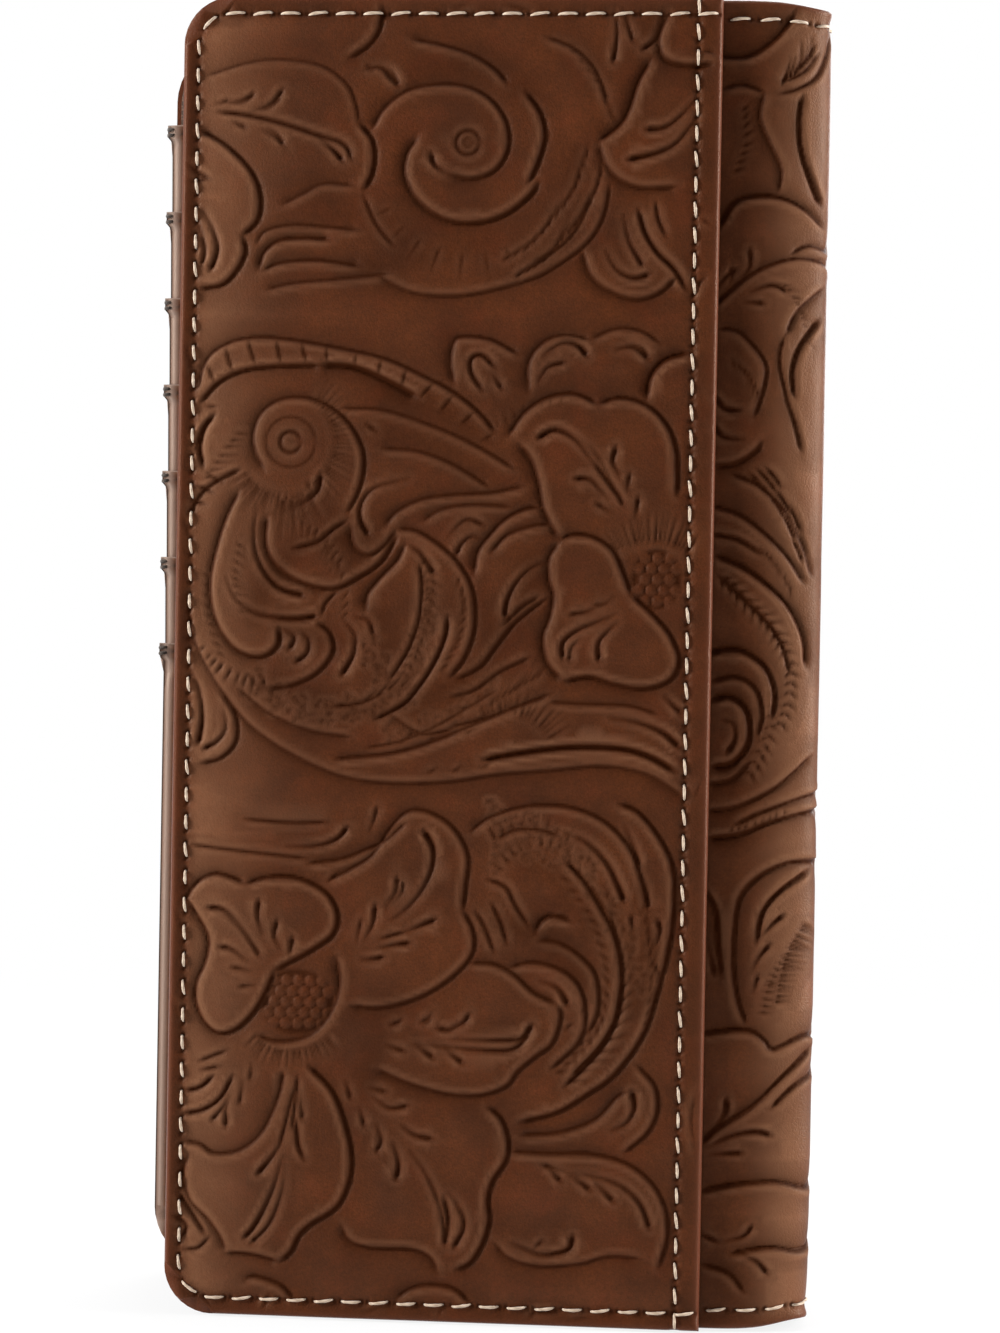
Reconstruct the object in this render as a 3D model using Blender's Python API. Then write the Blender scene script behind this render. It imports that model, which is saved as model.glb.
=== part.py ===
"""A long western wallet, closed and standing on one short end.

The tooled cover wraps from the back panel round the spine to the front cover.
Behind the front cover lie a zipped coin pocket, an accordion of bill
compartments and two slip pockets. Inside the front cover is a ladder of card
slots. Lengths are metres.

Design axes: x runs from the fore-edge of the back panel (0) to the spine,
y runs from the outer face of the back slip pocket (0) to the front cover,
z runs up the length of the wallet from the end that it stands on (0).
"""

import math

import bmesh
import bpy
from mathutils import Vector

MM = 0.001

# Outline of the wallet
LENGTH = 190 * MM
BODY_WIDTH = 93 * MM
FRONT_OVERHANG = 6 * MM
FOLD_RADIUS = 4.5 * MM
BODY_CORNER = 7 * MM
FRONT_CORNER = 10 * MM

# Thickness of each material
COVER_LEATHER = 1.4 * MM
POCKET_LEATHER = 1.4 * MM
PANEL_LEATHER = 0.9 * MM
BOARD = 0.8 * MM
LINING = 0.5 * MM
DIVIDER = 0.6 * MM
GUSSET_CLOTH = 0.4 * MM
SLIP_LEATHER = 0.6 * MM
RECEIPT_LEATHER = 0.8 * MM
SLOT_LEATHER = 0.6 * MM
TAPE_CLOTH = 0.4 * MM

# Space between layers
SEAT = 0.3 * MM
BILL_SPACE = 4.4 * MM
SECOND_SPACE = 1.6 * MM
COIN_SPACE = 5.2 * MM
CLOSED_SPACE = 0.9 * MM

# How far inner layers stop short of the cover's edges
BOARD_INSET = 3 * MM
LINING_INSET = 1 * MM
END_INSET = 1.5 * MM
BOARD_TO_SPINE = 11 * MM
LINING_TO_SPINE = 7 * MM
DIVIDER_TO_SPINE = 11 * MM
COIN_WALL_TO_SPINE = 9 * MM

# Back slip pocket: its mouth stops short of the spine and leaves a strip of cover
COVER_STRIP = 15.7 * MM

# Accordion
PLEAT_DEPTH = 9 * MM
PLEAT_RADIUS = 0.25 * MM
COIN_PLEAT_DEPTH = 6.75 * MM
COIN_PLEAT_RADIUS = 0.5 * MM
FLOOR_CLOTH = 0.5 * MM

# Front slip pockets: the first mouth lies beside the zip's window
CHEQUE_TO_WINDOW = 5.6 * MM
RECEIPT_STEP = 14 * MM

# Zip
ZIP_TO_SPINE = 19 * MM
ZIP_PARTED = 4.4 * MM
ZIP_MESH = 0.5 * MM
TOOTH_PITCH = 2.6 * MM
TOOTH_ROOT = 1.0 * MM
TOOTH_TIP = 0.8 * MM
TOOTH_LENGTH = 1.5 * MM
TOOTH_THICK = 1.8 * MM
BEAD_WIDTH = 0.8 * MM
TAPE_REACH = 12.2 * MM
TAPE_END = 3 * MM
ZIP_START = 11 * MM
ZIP_END = 8 * MM
ZIP_CONVERGE = 9 * MM
ZIP_MESHED = 4 * MM
STOP_LENGTH = 2.4 * MM
STOP_THICK = 2.4 * MM
STOP_CORNER = 0.5 * MM
WINDOW_MARGIN = 0.9 * MM
WINDOW_END = 6 * MM
WINDOW_CORNER = 2.1 * MM

# Slider and pull
SLIDER_LENGTH = 11 * MM
SLIDER_PLATE = 0.8 * MM
SLIDER_FLANGE = 0.7 * MM
SLIDER_CORNER = 2.6 * MM
SLIDER_POST = 3.4 * MM
BAIL_WIDTH = 1.6 * MM
BAIL_FOOT = 1.0 * MM
BAIL_EYE = 3.8 * MM
BAIL_BRIDGE = 0.6 * MM
PULL_THICK = 0.8 * MM
PULL_RING_INNER = 2.5 * MM
PULL_RING_OUTER = 3.3 * MM
PULL_TAB_LENGTH = 15 * MM
PULL_TAB_TOP = 3.0 * MM
PULL_TAB_END = 5.0 * MM

# Card slots in the front cover
SLOT_COUNT = 6
SLOT_PITCH = 13.2 * MM
LOWEST_MOUTH = 96.8 * MM
SLOT_OVERLAP = 3.3 * MM
SLOT_TO_SPINE = 11 * MM
SLOT_HEM = 2.3 * MM
SLOT_HEM_REACH = 0.7 * MM

# Smoothness
CORNER_STEPS = 7
FOLD_STEPS = 5
PLEAT_STEPS = 4
EDGE_ROUNDING = 0.25 * MM


class Stack:
    """Hands out the layers' y ranges, from the back face of the wallet forwards."""

    def __init__(self):
        self.reached = 0.0

    def lay(self, thickness, gap=SEAT):
        low = self.reached
        self.reached = low + thickness + gap
        return low, low + thickness

    def leave(self, space):
        self.reached += space


stack = Stack()
SLIP_POCKET_Y = stack.lay(POCKET_LEATHER)
BACK_LEATHER_Y = stack.lay(COVER_LEATHER)
BACK_BOARD_Y = stack.lay(BOARD)
BACK_LINING_Y = stack.lay(LINING, 0)
stack.leave(BILL_SPACE)
DIVIDER_Y = stack.lay(DIVIDER, 0)
stack.leave(SECOND_SPACE)
COIN_WALL_Y = stack.lay(LINING, 0)
stack.leave(COIN_SPACE)
TAPE_Y = stack.lay(TAPE_CLOTH)
FRONT_PANEL_Y = stack.lay(PANEL_LEATHER)
CHEQUE_Y = stack.lay(SLIP_LEATHER)
RECEIPT_Y = stack.lay(RECEIPT_LEATHER, 0)
stack.leave(CLOSED_SPACE)
SLOT_TILT = (SLOT_LEATHER + SEAT) / SLOT_PITCH
SLOT_DROP = SLOT_TILT * (SLOT_PITCH + SLOT_OVERLAP)
SLOT_Y = stack.lay(SLOT_LEATHER + SLOT_DROP)
FRONT_LINING_Y = stack.lay(LINING)
FRONT_BOARD_Y = stack.lay(BOARD)
FRONT_LEATHER_Y = stack.lay(COVER_LEATHER, 0)
DEPTH = FRONT_LEATHER_Y[1]

# Folds of the cover: the two corners' centres, and the fold lines on the outer face
FOLD_X = BODY_WIDTH - FOLD_RADIUS
BACK_FOLD_Y = BACK_LEATHER_Y[0] + FOLD_RADIUS
FRONT_FOLD_Y = DEPTH - FOLD_RADIUS
HALF_FOLD = FOLD_RADIUS * math.cos(math.radians(45))
SPINE_FOLD_LINE = Vector((FOLD_X + HALF_FOLD, BACK_FOLD_Y - HALF_FOLD, 0))
FRONT_FOLD_LINE = Vector((FOLD_X + HALF_FOLD, FRONT_FOLD_Y + HALF_FOLD, 0))

# Places that several pieces share
INNER_LOW = END_INSET
INNER_HIGH = LENGTH - END_INSET
LAYER_CORNER = BODY_CORNER - LINING_INSET
ZIP_X = BODY_WIDTH - ZIP_TO_SPINE
ROW_WIDTH = TOOTH_LENGTH + BEAD_WIDTH
ROW_OUTER = ZIP_PARTED / 2 + ROW_WIDTH
SLIDER_HALF = ROW_OUTER + SEAT + SLIDER_FLANGE
WINDOW_HALF = SLIDER_HALF + WINDOW_MARGIN
POCKET_MOUTH = BODY_WIDTH - COVER_STRIP
CHEQUE_MOUTH = ZIP_X - WINDOW_HALF - CHEQUE_TO_WINDOW
RECEIPT_MOUTH = CHEQUE_MOUTH - RECEIPT_STEP
ZIP_Y = sum(TAPE_Y) / 2
TEETH_Y = (ZIP_Y - TOOTH_THICK / 2, ZIP_Y + TOOTH_THICK / 2)
PARTED_FROM = ZIP_START + ZIP_MESHED + ZIP_CONVERGE
SLIDER_REST = PARTED_FROM + SEAT + SLIDER_LENGTH / 2
SLIDER_TOP = LENGTH - ZIP_END - SEAT - SLIDER_LENGTH / 2
SLIDER_TRAVEL = SLIDER_TOP - SLIDER_REST
FRONT_EDGE = -FRONT_OVERHANG
WHOLE_LEFT = FRONT_EDGE - SLOT_HEM_REACH
WALLET_PLACE = Vector((-(WHOLE_LEFT + BODY_WIDTH) / 2, -DEPTH / 2, 0))


def clear_scene():
    for old in list(bpy.data.objects):
        bpy.data.objects.remove(old)


def material(name, colour, roughness, metallic=0.0):
    made = bpy.data.materials.new(name)
    made.use_nodes = True
    shader = made.node_tree.nodes["Principled BSDF"]
    shader.inputs["Base Color"].default_value = (*colour, 1)
    shader.inputs["Roughness"].default_value = roughness
    shader.inputs["Metallic"].default_value = metallic
    return made


def pivot(name, place, parent=None):
    """An empty on a joint's axis, given in the design axes."""
    empty = bpy.data.objects.new(name, None)
    bpy.context.collection.objects.link(empty)
    empty["design_place"] = place
    if parent is None:
        empty.location = place
    else:
        empty.parent = parent
        empty.location = place - Vector(parent["design_place"])
    return empty


def piece(name, mesh, finish, carrier):
    """A named sub-part drawn in the design axes and carried by a pivot."""
    mesh.materials.append(finish)
    made = bpy.data.objects.new(name, mesh)
    bpy.context.collection.objects.link(made)
    made.parent = carrier
    made.location = -Vector(carrier["design_place"])
    return made


def prism(name, loop, sweep):
    """A closed solid: a flat loop of points drawn out along a vector."""
    bm = bmesh.new()
    face = bm.faces.new([bm.verts.new(point) for point in loop])
    drawn = bmesh.ops.extrude_face_region(bm, geom=[face])
    moved = [item for item in drawn["geom"] if isinstance(item, bmesh.types.BMVert)]
    bmesh.ops.translate(bm, verts=moved, vec=sweep)
    bmesh.ops.recalc_face_normals(bm, faces=bm.faces)
    mesh = bpy.data.meshes.new(name)
    bm.to_mesh(mesh)
    bm.free()
    return mesh


def arc(centre, radius, start, end, steps):
    """Points on a circle from one angle to another, in degrees, both ends kept."""
    angles = [math.radians(start + (end - start) * n / steps) for n in range(steps + 1)]
    return [
        (centre[0] + radius * math.cos(a), centre[1] + radius * math.sin(a))
        for a in angles
    ]


def outline(left, right, low, high, left_corner=0.0, right_corner=0.0):
    """A rectangle's loop in x and z, with its two left and two right corners rounded."""
    loop = []
    for x, z, radius, start in (
        (left, low, left_corner, 180),
        (right, low, right_corner, 270),
        (right, high, right_corner, 0),
        (left, high, left_corner, 90),
    ):
        if radius > 0:
            centre = (
                x + radius * (1 if x == left else -1),
                z + radius * (1 if z == low else -1),
            )
            loop += arc(centre, radius, start, start + 90, CORNER_STEPS)
        else:
            loop.append((x, z))
    return loop


def panel(name, loop, y_range):
    """A flat sheet: a loop in x and z, as thick as its y range."""
    low, high = y_range
    return prism(name, [(x, low, z) for x, z in loop], (0, high - low, 0))


def strip_loop(path, thickness):
    """The outline of a strip of even thickness that follows a path of points."""
    sides = ([], [])
    last = len(path) - 1
    for n, point in enumerate(path):
        here = Vector(point)
        before = (here - Vector(path[n - 1])).normalized() if n > 0 else None
        after = (Vector(path[n + 1]) - here).normalized() if n < last else None
        before, after = before or after, after or before
        along = (before + after).normalized()
        across = Vector((-along.y, along.x))
        reach = thickness / 2 / max(0.2, along.dot(after))
        sides[0].append(here + across * reach)
        sides[1].append(here - across * reach)
    return [tuple(p) for p in sides[0]] + [tuple(p) for p in reversed(sides[1])]


def rounded(points, radius, steps):
    """A path of points with each inner corner replaced by an arc."""
    path = [points[0]]
    for n in range(1, len(points) - 1):
        corner = Vector(points[n])
        back = (Vector(points[n - 1]) - corner).normalized()
        on = (Vector(points[n + 1]) - corner).normalized()
        half = back.angle(on) / 2
        centre = corner + (back + on).normalized() * radius / math.sin(half)
        first = corner + back * radius / math.tan(half) - centre
        last = corner + on * radius / math.tan(half) - centre
        turn = first.angle_signed(last)
        for k in range(steps + 1):
            spin = -turn * k / steps
            path.append(
                (
                    centre.x + first.x * math.cos(spin) - first.y * math.sin(spin),
                    centre.y + first.x * math.sin(spin) + first.y * math.cos(spin),
                )
            )
    return path + [points[-1]]


def lofted(name, stations):
    """A closed sheet through stations, each a ring of four corners."""
    bm = bmesh.new()
    rings = [[bm.verts.new(corner) for corner in station] for station in stations]
    for one, two in zip(rings, rings[1:]):
        for k in range(4):
            m = (k + 1) % 4
            bm.faces.new((one[k], one[m], two[m], two[k]))
    bm.faces.new(rings[0][::-1])
    bm.faces.new(rings[-1])
    bmesh.ops.recalc_face_normals(bm, faces=bm.faces)
    mesh = bpy.data.meshes.new(name)
    bm.to_mesh(mesh)
    bm.free()
    return mesh


def corner_rise(run, radius):
    """How far a rounded corner has cut into the end of a sheet, run in from its edge."""
    if run >= radius:
        return 0.0
    return radius - math.sqrt(radius**2 - (radius - run) ** 2)


def corner_runs(radius):
    """Places along a sheet that draw a rounded corner well."""
    steps = CORNER_STEPS
    return [radius * (1 - math.cos(math.pi / 2 * n / steps)) for n in range(steps + 1)]


def cover_sheet(name, outer_y, inner_y, edge_x, corner, fold):
    """Cover leather from its free edge to the fold line, with the half fold it keeps."""
    stations = []
    for run in corner_runs(corner):
        rise = max(corner_rise(run, corner), 0.0)
        x = edge_x + run
        stations.append((x, outer_y, inner_y, x, rise))
    for outer, inner in fold:
        stations.append((outer[0], outer[1], inner[1], inner[0], 0.0))
    rings = []
    for outer_x, y_out, y_in, inner_x, rise in stations:
        low, high = rise, LENGTH - rise
        rings.append(
            (
                (outer_x, y_out, low),
                (inner_x, y_in, low),
                (inner_x, y_in, high),
                (outer_x, y_out, high),
            )
        )
    return lofted(name, rings)


def fold_arc(centre_y, start, end):
    """Outer and inner points of part of a cover fold."""
    outer = arc((FOLD_X, centre_y), FOLD_RADIUS, start, end, FOLD_STEPS)
    inner_radius = FOLD_RADIUS - COVER_LEATHER
    inner = arc((FOLD_X, centre_y), inner_radius, start, end, FOLD_STEPS)
    return list(zip(outer, inner))


def round_edges(made, width=EDGE_ROUNDING, segments=2):
    """Burnished leather edges. The cut ends at a fold line stay sharp."""
    fold_lines = (SPINE_FOLD_LINE, FRONT_FOLD_LINE)
    mesh = made.data
    weights = mesh.attributes.new("bevel_weight_edge", "FLOAT", "EDGE")
    for edge in mesh.edges:
        ends = [mesh.vertices[v].co for v in edge.vertices]
        beside_fold = all(
            any((end.xy - line.xy).length < 2 * COVER_LEATHER for line in fold_lines)
            for end in ends
        )
        weights.data[edge.index].value = 0.0 if beside_fold else 1.0
    bevel = made.modifiers.new("burnished edge", "BEVEL")
    bevel.width = width
    bevel.segments = segments
    bevel.limit_method = "WEIGHT"
    bevel.use_clamp_overlap = True


def cutter(name, mesh, carrier):
    """A hidden shape that cuts others."""
    made = piece(name, mesh, bpy.data.materials["board"], carrier)
    made.hide_render = True
    made.display_type = "WIRE"
    return made


def boolean(made, tool, operation):
    change = made.modifiers.new(operation.lower(), "BOOLEAN")
    change.operation = operation
    change.solver = "EXACT"
    change.object = tool


def sharp_edges_only(made, degrees=35):
    """Round pieces look round, while their square edges stay crisp."""
    made.data.shade_smooth()
    made.data.set_sharp_from_angle(angle=math.radians(degrees))


def build_cover(body, spine, front):
    """Back panel, spine and front cover: one wrap of tooled leather, cut at its folds."""
    leather = material("cover leather", (0.105, 0.034, 0.016), 0.55)
    half_gap = math.degrees(SEAT / 2 / FOLD_RADIUS)
    fold = fold_arc(BACK_FOLD_Y, -90, -45 - half_gap)
    back = piece(
        "back_cover_leather",
        cover_sheet("back_cover_leather", *BACK_LEATHER_Y, 0.0, BODY_CORNER, fold),
        leather,
        body,
    )
    fold = fold_arc(FRONT_FOLD_Y, 90, 45 + half_gap)
    front_sheet = piece(
        "front_cover_leather",
        cover_sheet(
            "front_cover_leather",
            FRONT_LEATHER_Y[1],
            FRONT_LEATHER_Y[0],
            FRONT_EDGE,
            FRONT_CORNER,
            fold,
        ),
        leather,
        front,
    )
    wrap = fold_arc(BACK_FOLD_Y, -45 + half_gap, 0)
    wrap += fold_arc(FRONT_FOLD_Y, 0, 45 - half_gap)
    rings = [
        ((*outer, 0), (*inner, 0), (*inner, LENGTH), (*outer, LENGTH))
        for outer, inner in wrap
    ]
    spine_sheet = piece("spine_leather", lofted("spine_leather", rings), leather, spine)
    for made in (back, front_sheet, spine_sheet):
        sharp_edges_only(made)
    for made in (back, front_sheet):
        round_edges(made)


def build_back(body):
    """The slip pocket on the outer face, and the board and lining behind the cover."""
    leather = bpy.data.materials["cover leather"]
    loop = outline(0.0, POCKET_MOUTH, 0.0, LENGTH, BODY_CORNER)
    pocket = piece(
        "slip_pocket_panel", panel("slip_pocket_panel", loop, SLIP_POCKET_Y), leather, body
    )
    round_edges(pocket)
    loop = outline(
        BOARD_INSET,
        BODY_WIDTH - BOARD_TO_SPINE,
        BOARD_INSET,
        LENGTH - BOARD_INSET,
        BODY_CORNER - BOARD_INSET,
    )
    piece("back_board", panel("back_board", loop, BACK_BOARD_Y), board, body)
    loop = outline(
        LINING_INSET,
        BODY_WIDTH - LINING_TO_SPINE,
        INNER_LOW,
        INNER_HIGH,
        LAYER_CORNER,
    )
    piece("back_lining", panel("back_lining", loop, BACK_LINING_Y), lining, body)


def build_accordion(body):
    """Divider, pleated end gussets and floor of the bill compartments."""
    cloth = material("gusset cloth", (0.055, 0.035, 0.026), 0.85)
    seated = SEAT + GUSSET_CLOTH / 2
    divider_low = INNER_LOW + SEAT + 2 * GUSSET_CLOTH
    loop = outline(
        LINING_INSET + FLOOR_CLOTH + SEAT,
        BODY_WIDTH - DIVIDER_TO_SPINE,
        divider_low,
        LENGTH - divider_low,
        LAYER_CORNER,
    )
    piece("bill_divider", panel("bill_divider", loop, DIVIDER_Y), lining, body)
    left = BODY_CORNER
    width = BODY_WIDTH - DIVIDER_TO_SPINE - left
    wrap = GUSSET_CLOTH / 2 + SEAT
    for end, sign in (("bottom", 1), ("top", -1)):
        base = 0.0 if sign > 0 else LENGTH

        def at(height):
            return base + sign * height

        edge = at(INNER_LOW + GUSSET_CLOTH / 2)
        turn = at(INNER_LOW + PLEAT_DEPTH)
        points = [
            (edge, BACK_LINING_Y[1] + seated),
            (turn, (BACK_LINING_Y[1] + DIVIDER_Y[0]) / 2),
            (edge, DIVIDER_Y[0] - wrap),
            (edge, DIVIDER_Y[1] + wrap),
            (turn, (DIVIDER_Y[1] + COIN_WALL_Y[0]) / 2),
            (edge, COIN_WALL_Y[0] - seated),
        ]
        path = rounded(points, PLEAT_RADIUS, PLEAT_STEPS)
        loop = [(left, y, z) for z, y in strip_loop(path, GUSSET_CLOTH)]
        name = f"accordion_gusset_{end}"
        piece(name, prism(name, loop, (width, 0, 0)), cloth, body)
    floor_y = (BACK_LINING_Y[1] + SEAT, TAPE_Y[0] - SEAT)
    loop = outline(
        LINING_INSET, LINING_INSET + FLOOR_CLOTH, BODY_CORNER, LENGTH - BODY_CORNER
    )
    piece("compartment_floor", panel("compartment_floor", loop, floor_y), cloth, body)


def build_coin_pocket(body):
    """Rear wall and end gussets of the zipped pocket, and the panel that it opens through."""
    cloth = bpy.data.materials["gusset cloth"]
    leather = material("inner leather", (0.12, 0.045, 0.022), 0.5)
    left = LINING_INSET + FLOOR_CLOTH + SEAT
    right = BODY_WIDTH - COIN_WALL_TO_SPINE
    loop = outline(left, right, INNER_LOW, INNER_HIGH, LAYER_CORNER)
    piece("coin_pocket_wall", panel("coin_pocket_wall", loop, COIN_WALL_Y), lining, body)
    seated = SEAT + GUSSET_CLOTH / 2
    for end, sign in (("bottom", 1), ("top", -1)):
        base = 0.0 if sign > 0 else LENGTH
        edge = base + sign * (INNER_LOW + GUSSET_CLOTH / 2)
        turn = base + sign * (INNER_LOW + COIN_PLEAT_DEPTH)
        points = [
            (edge, COIN_WALL_Y[1] + seated),
            (turn, (COIN_WALL_Y[1] + TAPE_Y[0]) / 2),
            (edge, TAPE_Y[0] - seated),
        ]
        path = rounded(points, COIN_PLEAT_RADIUS, PLEAT_STEPS)
        loop = [(BODY_CORNER, y, z) for z, y in strip_loop(path, GUSSET_CLOTH)]
        name = f"coin_gusset_{end}"
        width = right - BODY_CORNER
        piece(name, prism(name, loop, (width, 0, 0)), cloth, body)
    loop = outline(
        LINING_INSET,
        BODY_WIDTH - LINING_TO_SPINE,
        INNER_LOW,
        INNER_HIGH,
        LAYER_CORNER,
    )
    front = piece("front_panel", panel("front_panel", loop, FRONT_PANEL_Y), leather, body)
    window = outline(
        ZIP_X - WINDOW_HALF,
        ZIP_X + WINDOW_HALF,
        WINDOW_END,
        LENGTH - WINDOW_END,
        WINDOW_CORNER,
        WINDOW_CORNER,
    )
    through = (FRONT_PANEL_Y[0] - PANEL_LEATHER, FRONT_PANEL_Y[1] + PANEL_LEATHER)
    boolean(front, cutter("zip_window", panel("zip_window", window, through), body), "DIFFERENCE")


def build_slip_pockets(body):
    """Two flat pockets on the front panel, their mouths towards the spine."""
    leather = bpy.data.materials["inner leather"]
    for name, mouth, layer in (
        ("cheque_pocket", CHEQUE_MOUTH, CHEQUE_Y),
        ("receipt_pocket", RECEIPT_MOUTH, RECEIPT_Y),
    ):
        loop = outline(LINING_INSET, mouth, INNER_LOW, INNER_HIGH, LAYER_CORNER)
        round_edges(piece(name, panel(name, loop, layer), leather, body), SLIP_LEATHER / 4, 1)


def row_tip(z):
    """Distance of a tooth's tip from the zip's centre line: meshed low down, then parted."""
    run = (z - ZIP_START - ZIP_MESHED) / ZIP_CONVERGE
    run = min(1.0, max(0.0, run))
    eased = run * run * (3 - 2 * run)
    return -ZIP_MESH + (ZIP_PARTED / 2 + ZIP_MESH) * eased


def tooth_places(offset):
    """Heights of one row's teeth. The two rows differ by half a pitch."""
    room = LENGTH - ZIP_END - ZIP_START - TOOTH_ROOT - TOOTH_PITCH / 2
    count = int(room / TOOTH_PITCH) + 1
    first = ZIP_START + TOOTH_ROOT / 2 + offset
    return [first + n * TOOTH_PITCH for n in range(count)]


def comb_loop(side, places):
    """Outline of a row of teeth on its bead, in x and z. side is -1 or 1."""
    def x_at(distance):
        return ZIP_X + side * distance

    inner = []
    for z in places:
        tip = row_tip(z)
        root = tip + TOOTH_LENGTH
        inner += [
            (x_at(root), z - TOOTH_ROOT / 2),
            (x_at(tip), z - TOOTH_TIP / 2),
            (x_at(tip), z + TOOTH_TIP / 2),
            (x_at(root), z + TOOTH_ROOT / 2),
        ]
    low, high = places[0] - TOOTH_ROOT / 2, places[-1] + TOOTH_ROOT / 2
    marks = [high]
    steps = 8
    marks += [PARTED_FROM - ZIP_CONVERGE * n / steps for n in range(steps + 1)]
    marks.append(low)
    outer = [(x_at(row_tip(z) + ROW_WIDTH), z) for z in marks]
    return inner + outer


def tape_loop(side):
    """Outline of one zip tape: its inner edge keeps close to the row of teeth."""
    steps = 8
    marks = [TAPE_END, ZIP_START + ZIP_MESHED]
    marks += [
        ZIP_START + ZIP_MESHED + ZIP_CONVERGE * n / steps for n in range(1, steps + 1)
    ]
    marks.append(LENGTH - TAPE_END)
    inner = [(ZIP_X + side * (row_tip(z) + ROW_WIDTH + SEAT), z) for z in marks]
    outer_x = ZIP_X + side * TAPE_REACH
    return inner + [(outer_x, marks[-1]), (outer_x, marks[0])]


def build_zip(body):
    """Two tapes, two rows of teeth that mesh at the closed end, and their stops."""
    brass = material("antique brass", (0.42, 0.29, 0.13), 0.35, 1.0)
    tape_cloth = material("zip tape", (0.06, 0.035, 0.022), 0.9)
    for side, word, offset in ((-1, "fore", 0.0), (1, "spine", TOOTH_PITCH / 2)):
        name = f"zip_tape_{word}"
        piece(name, panel(name, tape_loop(side), TAPE_Y), tape_cloth, body)
        name = f"zip_teeth_{word}"
        loop = comb_loop(side, tooth_places(offset))
        piece(name, panel(name, loop, TEETH_Y), brass, body)
    stop_y = (ZIP_Y - STOP_THICK / 2, ZIP_Y + STOP_THICK / 2)
    for side, word, offset in ((-1, "fore", 0.0), (1, "spine", TOOTH_PITCH / 2)):
        low = tooth_places(offset)[-1] + TOOTH_ROOT / 2 + SEAT
        near = ZIP_X + side * ZIP_PARTED / 2
        far = ZIP_X + side * ROW_OUTER
        loop = outline(min(near, far), max(near, far), low, low + STOP_LENGTH)
        name = f"zip_top_stop_{word}"
        piece(name, panel(name, loop, stop_y), brass, body)
    half = ROW_WIDTH - ZIP_MESH
    high = ZIP_START - SEAT
    loop = outline(
        ZIP_X - half, ZIP_X + half, high - STOP_LENGTH, high, STOP_CORNER, STOP_CORNER
    )
    piece("zip_bottom_stop", panel("zip_bottom_stop", loop, stop_y), brass, body)


def unite(made, tools):
    for tool in tools:
        boolean(made, tool, "UNION")


def build_slider(slider):
    """The slider: two plates with flanges round the rows, a post between them, a bail."""
    brass = bpy.data.materials["antique brass"]
    low, high = SLIDER_REST - SLIDER_LENGTH / 2, SLIDER_REST + SLIDER_LENGTH / 2
    loop = outline(
        ZIP_X - SLIDER_HALF, ZIP_X + SLIDER_HALF, low, high, SLIDER_CORNER, SLIDER_CORNER
    )
    under_y = (TEETH_Y[0] - SEAT - SLIDER_PLATE, TEETH_Y[0] - SEAT)
    over_y = (TEETH_Y[1] + SEAT, TEETH_Y[1] + SEAT + SLIDER_PLATE)
    bite = SLIDER_PLATE / 2
    body = piece("zip_slider", panel("zip_slider", loop, over_y), brass, slider)
    parts = [("slider_under_plate", loop, under_y)]
    post = outline(
        ZIP_X - ZIP_PARTED / 2 + SEAT,
        ZIP_X + ZIP_PARTED / 2 - SEAT,
        high - SLIDER_POST - SLIDER_FLANGE,
        high - SLIDER_FLANGE,
        SLIDER_FLANGE,
        SLIDER_FLANGE,
    )
    parts.append(("slider_post", post, (under_y[1] - bite, over_y[0] + bite)))
    for side, word in ((-1, "fore"), (1, "spine")):
        near = ZIP_X + side * (ROW_OUTER + SEAT)
        far = ZIP_X + side * SLIDER_HALF
        flange = outline(
            min(near, far), max(near, far), low + SLIDER_CORNER, high - SLIDER_CORNER
        )
        parts.append((f"slider_low_flange_{word}", flange, (under_y[1] - bite, TAPE_Y[0] - SEAT)))
        parts.append((f"slider_high_flange_{word}", flange, (TAPE_Y[1] + SEAT, over_y[0] + bite)))
    bail_low = PULL_PIVOT.z - BAIL_EYE / 2 - BAIL_FOOT
    bail_high = PULL_PIVOT.z + BAIL_EYE / 2 + BAIL_FOOT
    bridge_y = over_y[1] + PULL_THICK + 2 * SEAT
    arch = [
        (bail_low, over_y[1] - bite),
        (bail_low, bridge_y),
        (bail_low + BAIL_BRIDGE, bridge_y + BAIL_BRIDGE),
        (bail_high - BAIL_BRIDGE, bridge_y + BAIL_BRIDGE),
        (bail_high, bridge_y),
        (bail_high, over_y[1] - bite),
        (bail_high - BAIL_FOOT, over_y[1] - bite),
        (bail_high - BAIL_FOOT, bridge_y),
        (bail_low + BAIL_FOOT, bridge_y),
        (bail_low + BAIL_FOOT, over_y[1] - bite),
    ]
    tools = [cutter(name, panel(name, shape, y_range), slider) for name, shape, y_range in parts]
    bail = [(ZIP_X - BAIL_WIDTH / 2, y, z) for z, y in arch]
    tools.append(cutter("slider_bail", prism("slider_bail", bail, (BAIL_WIDTH, 0, 0)), slider))
    unite(body, tools)
    return body


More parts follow.
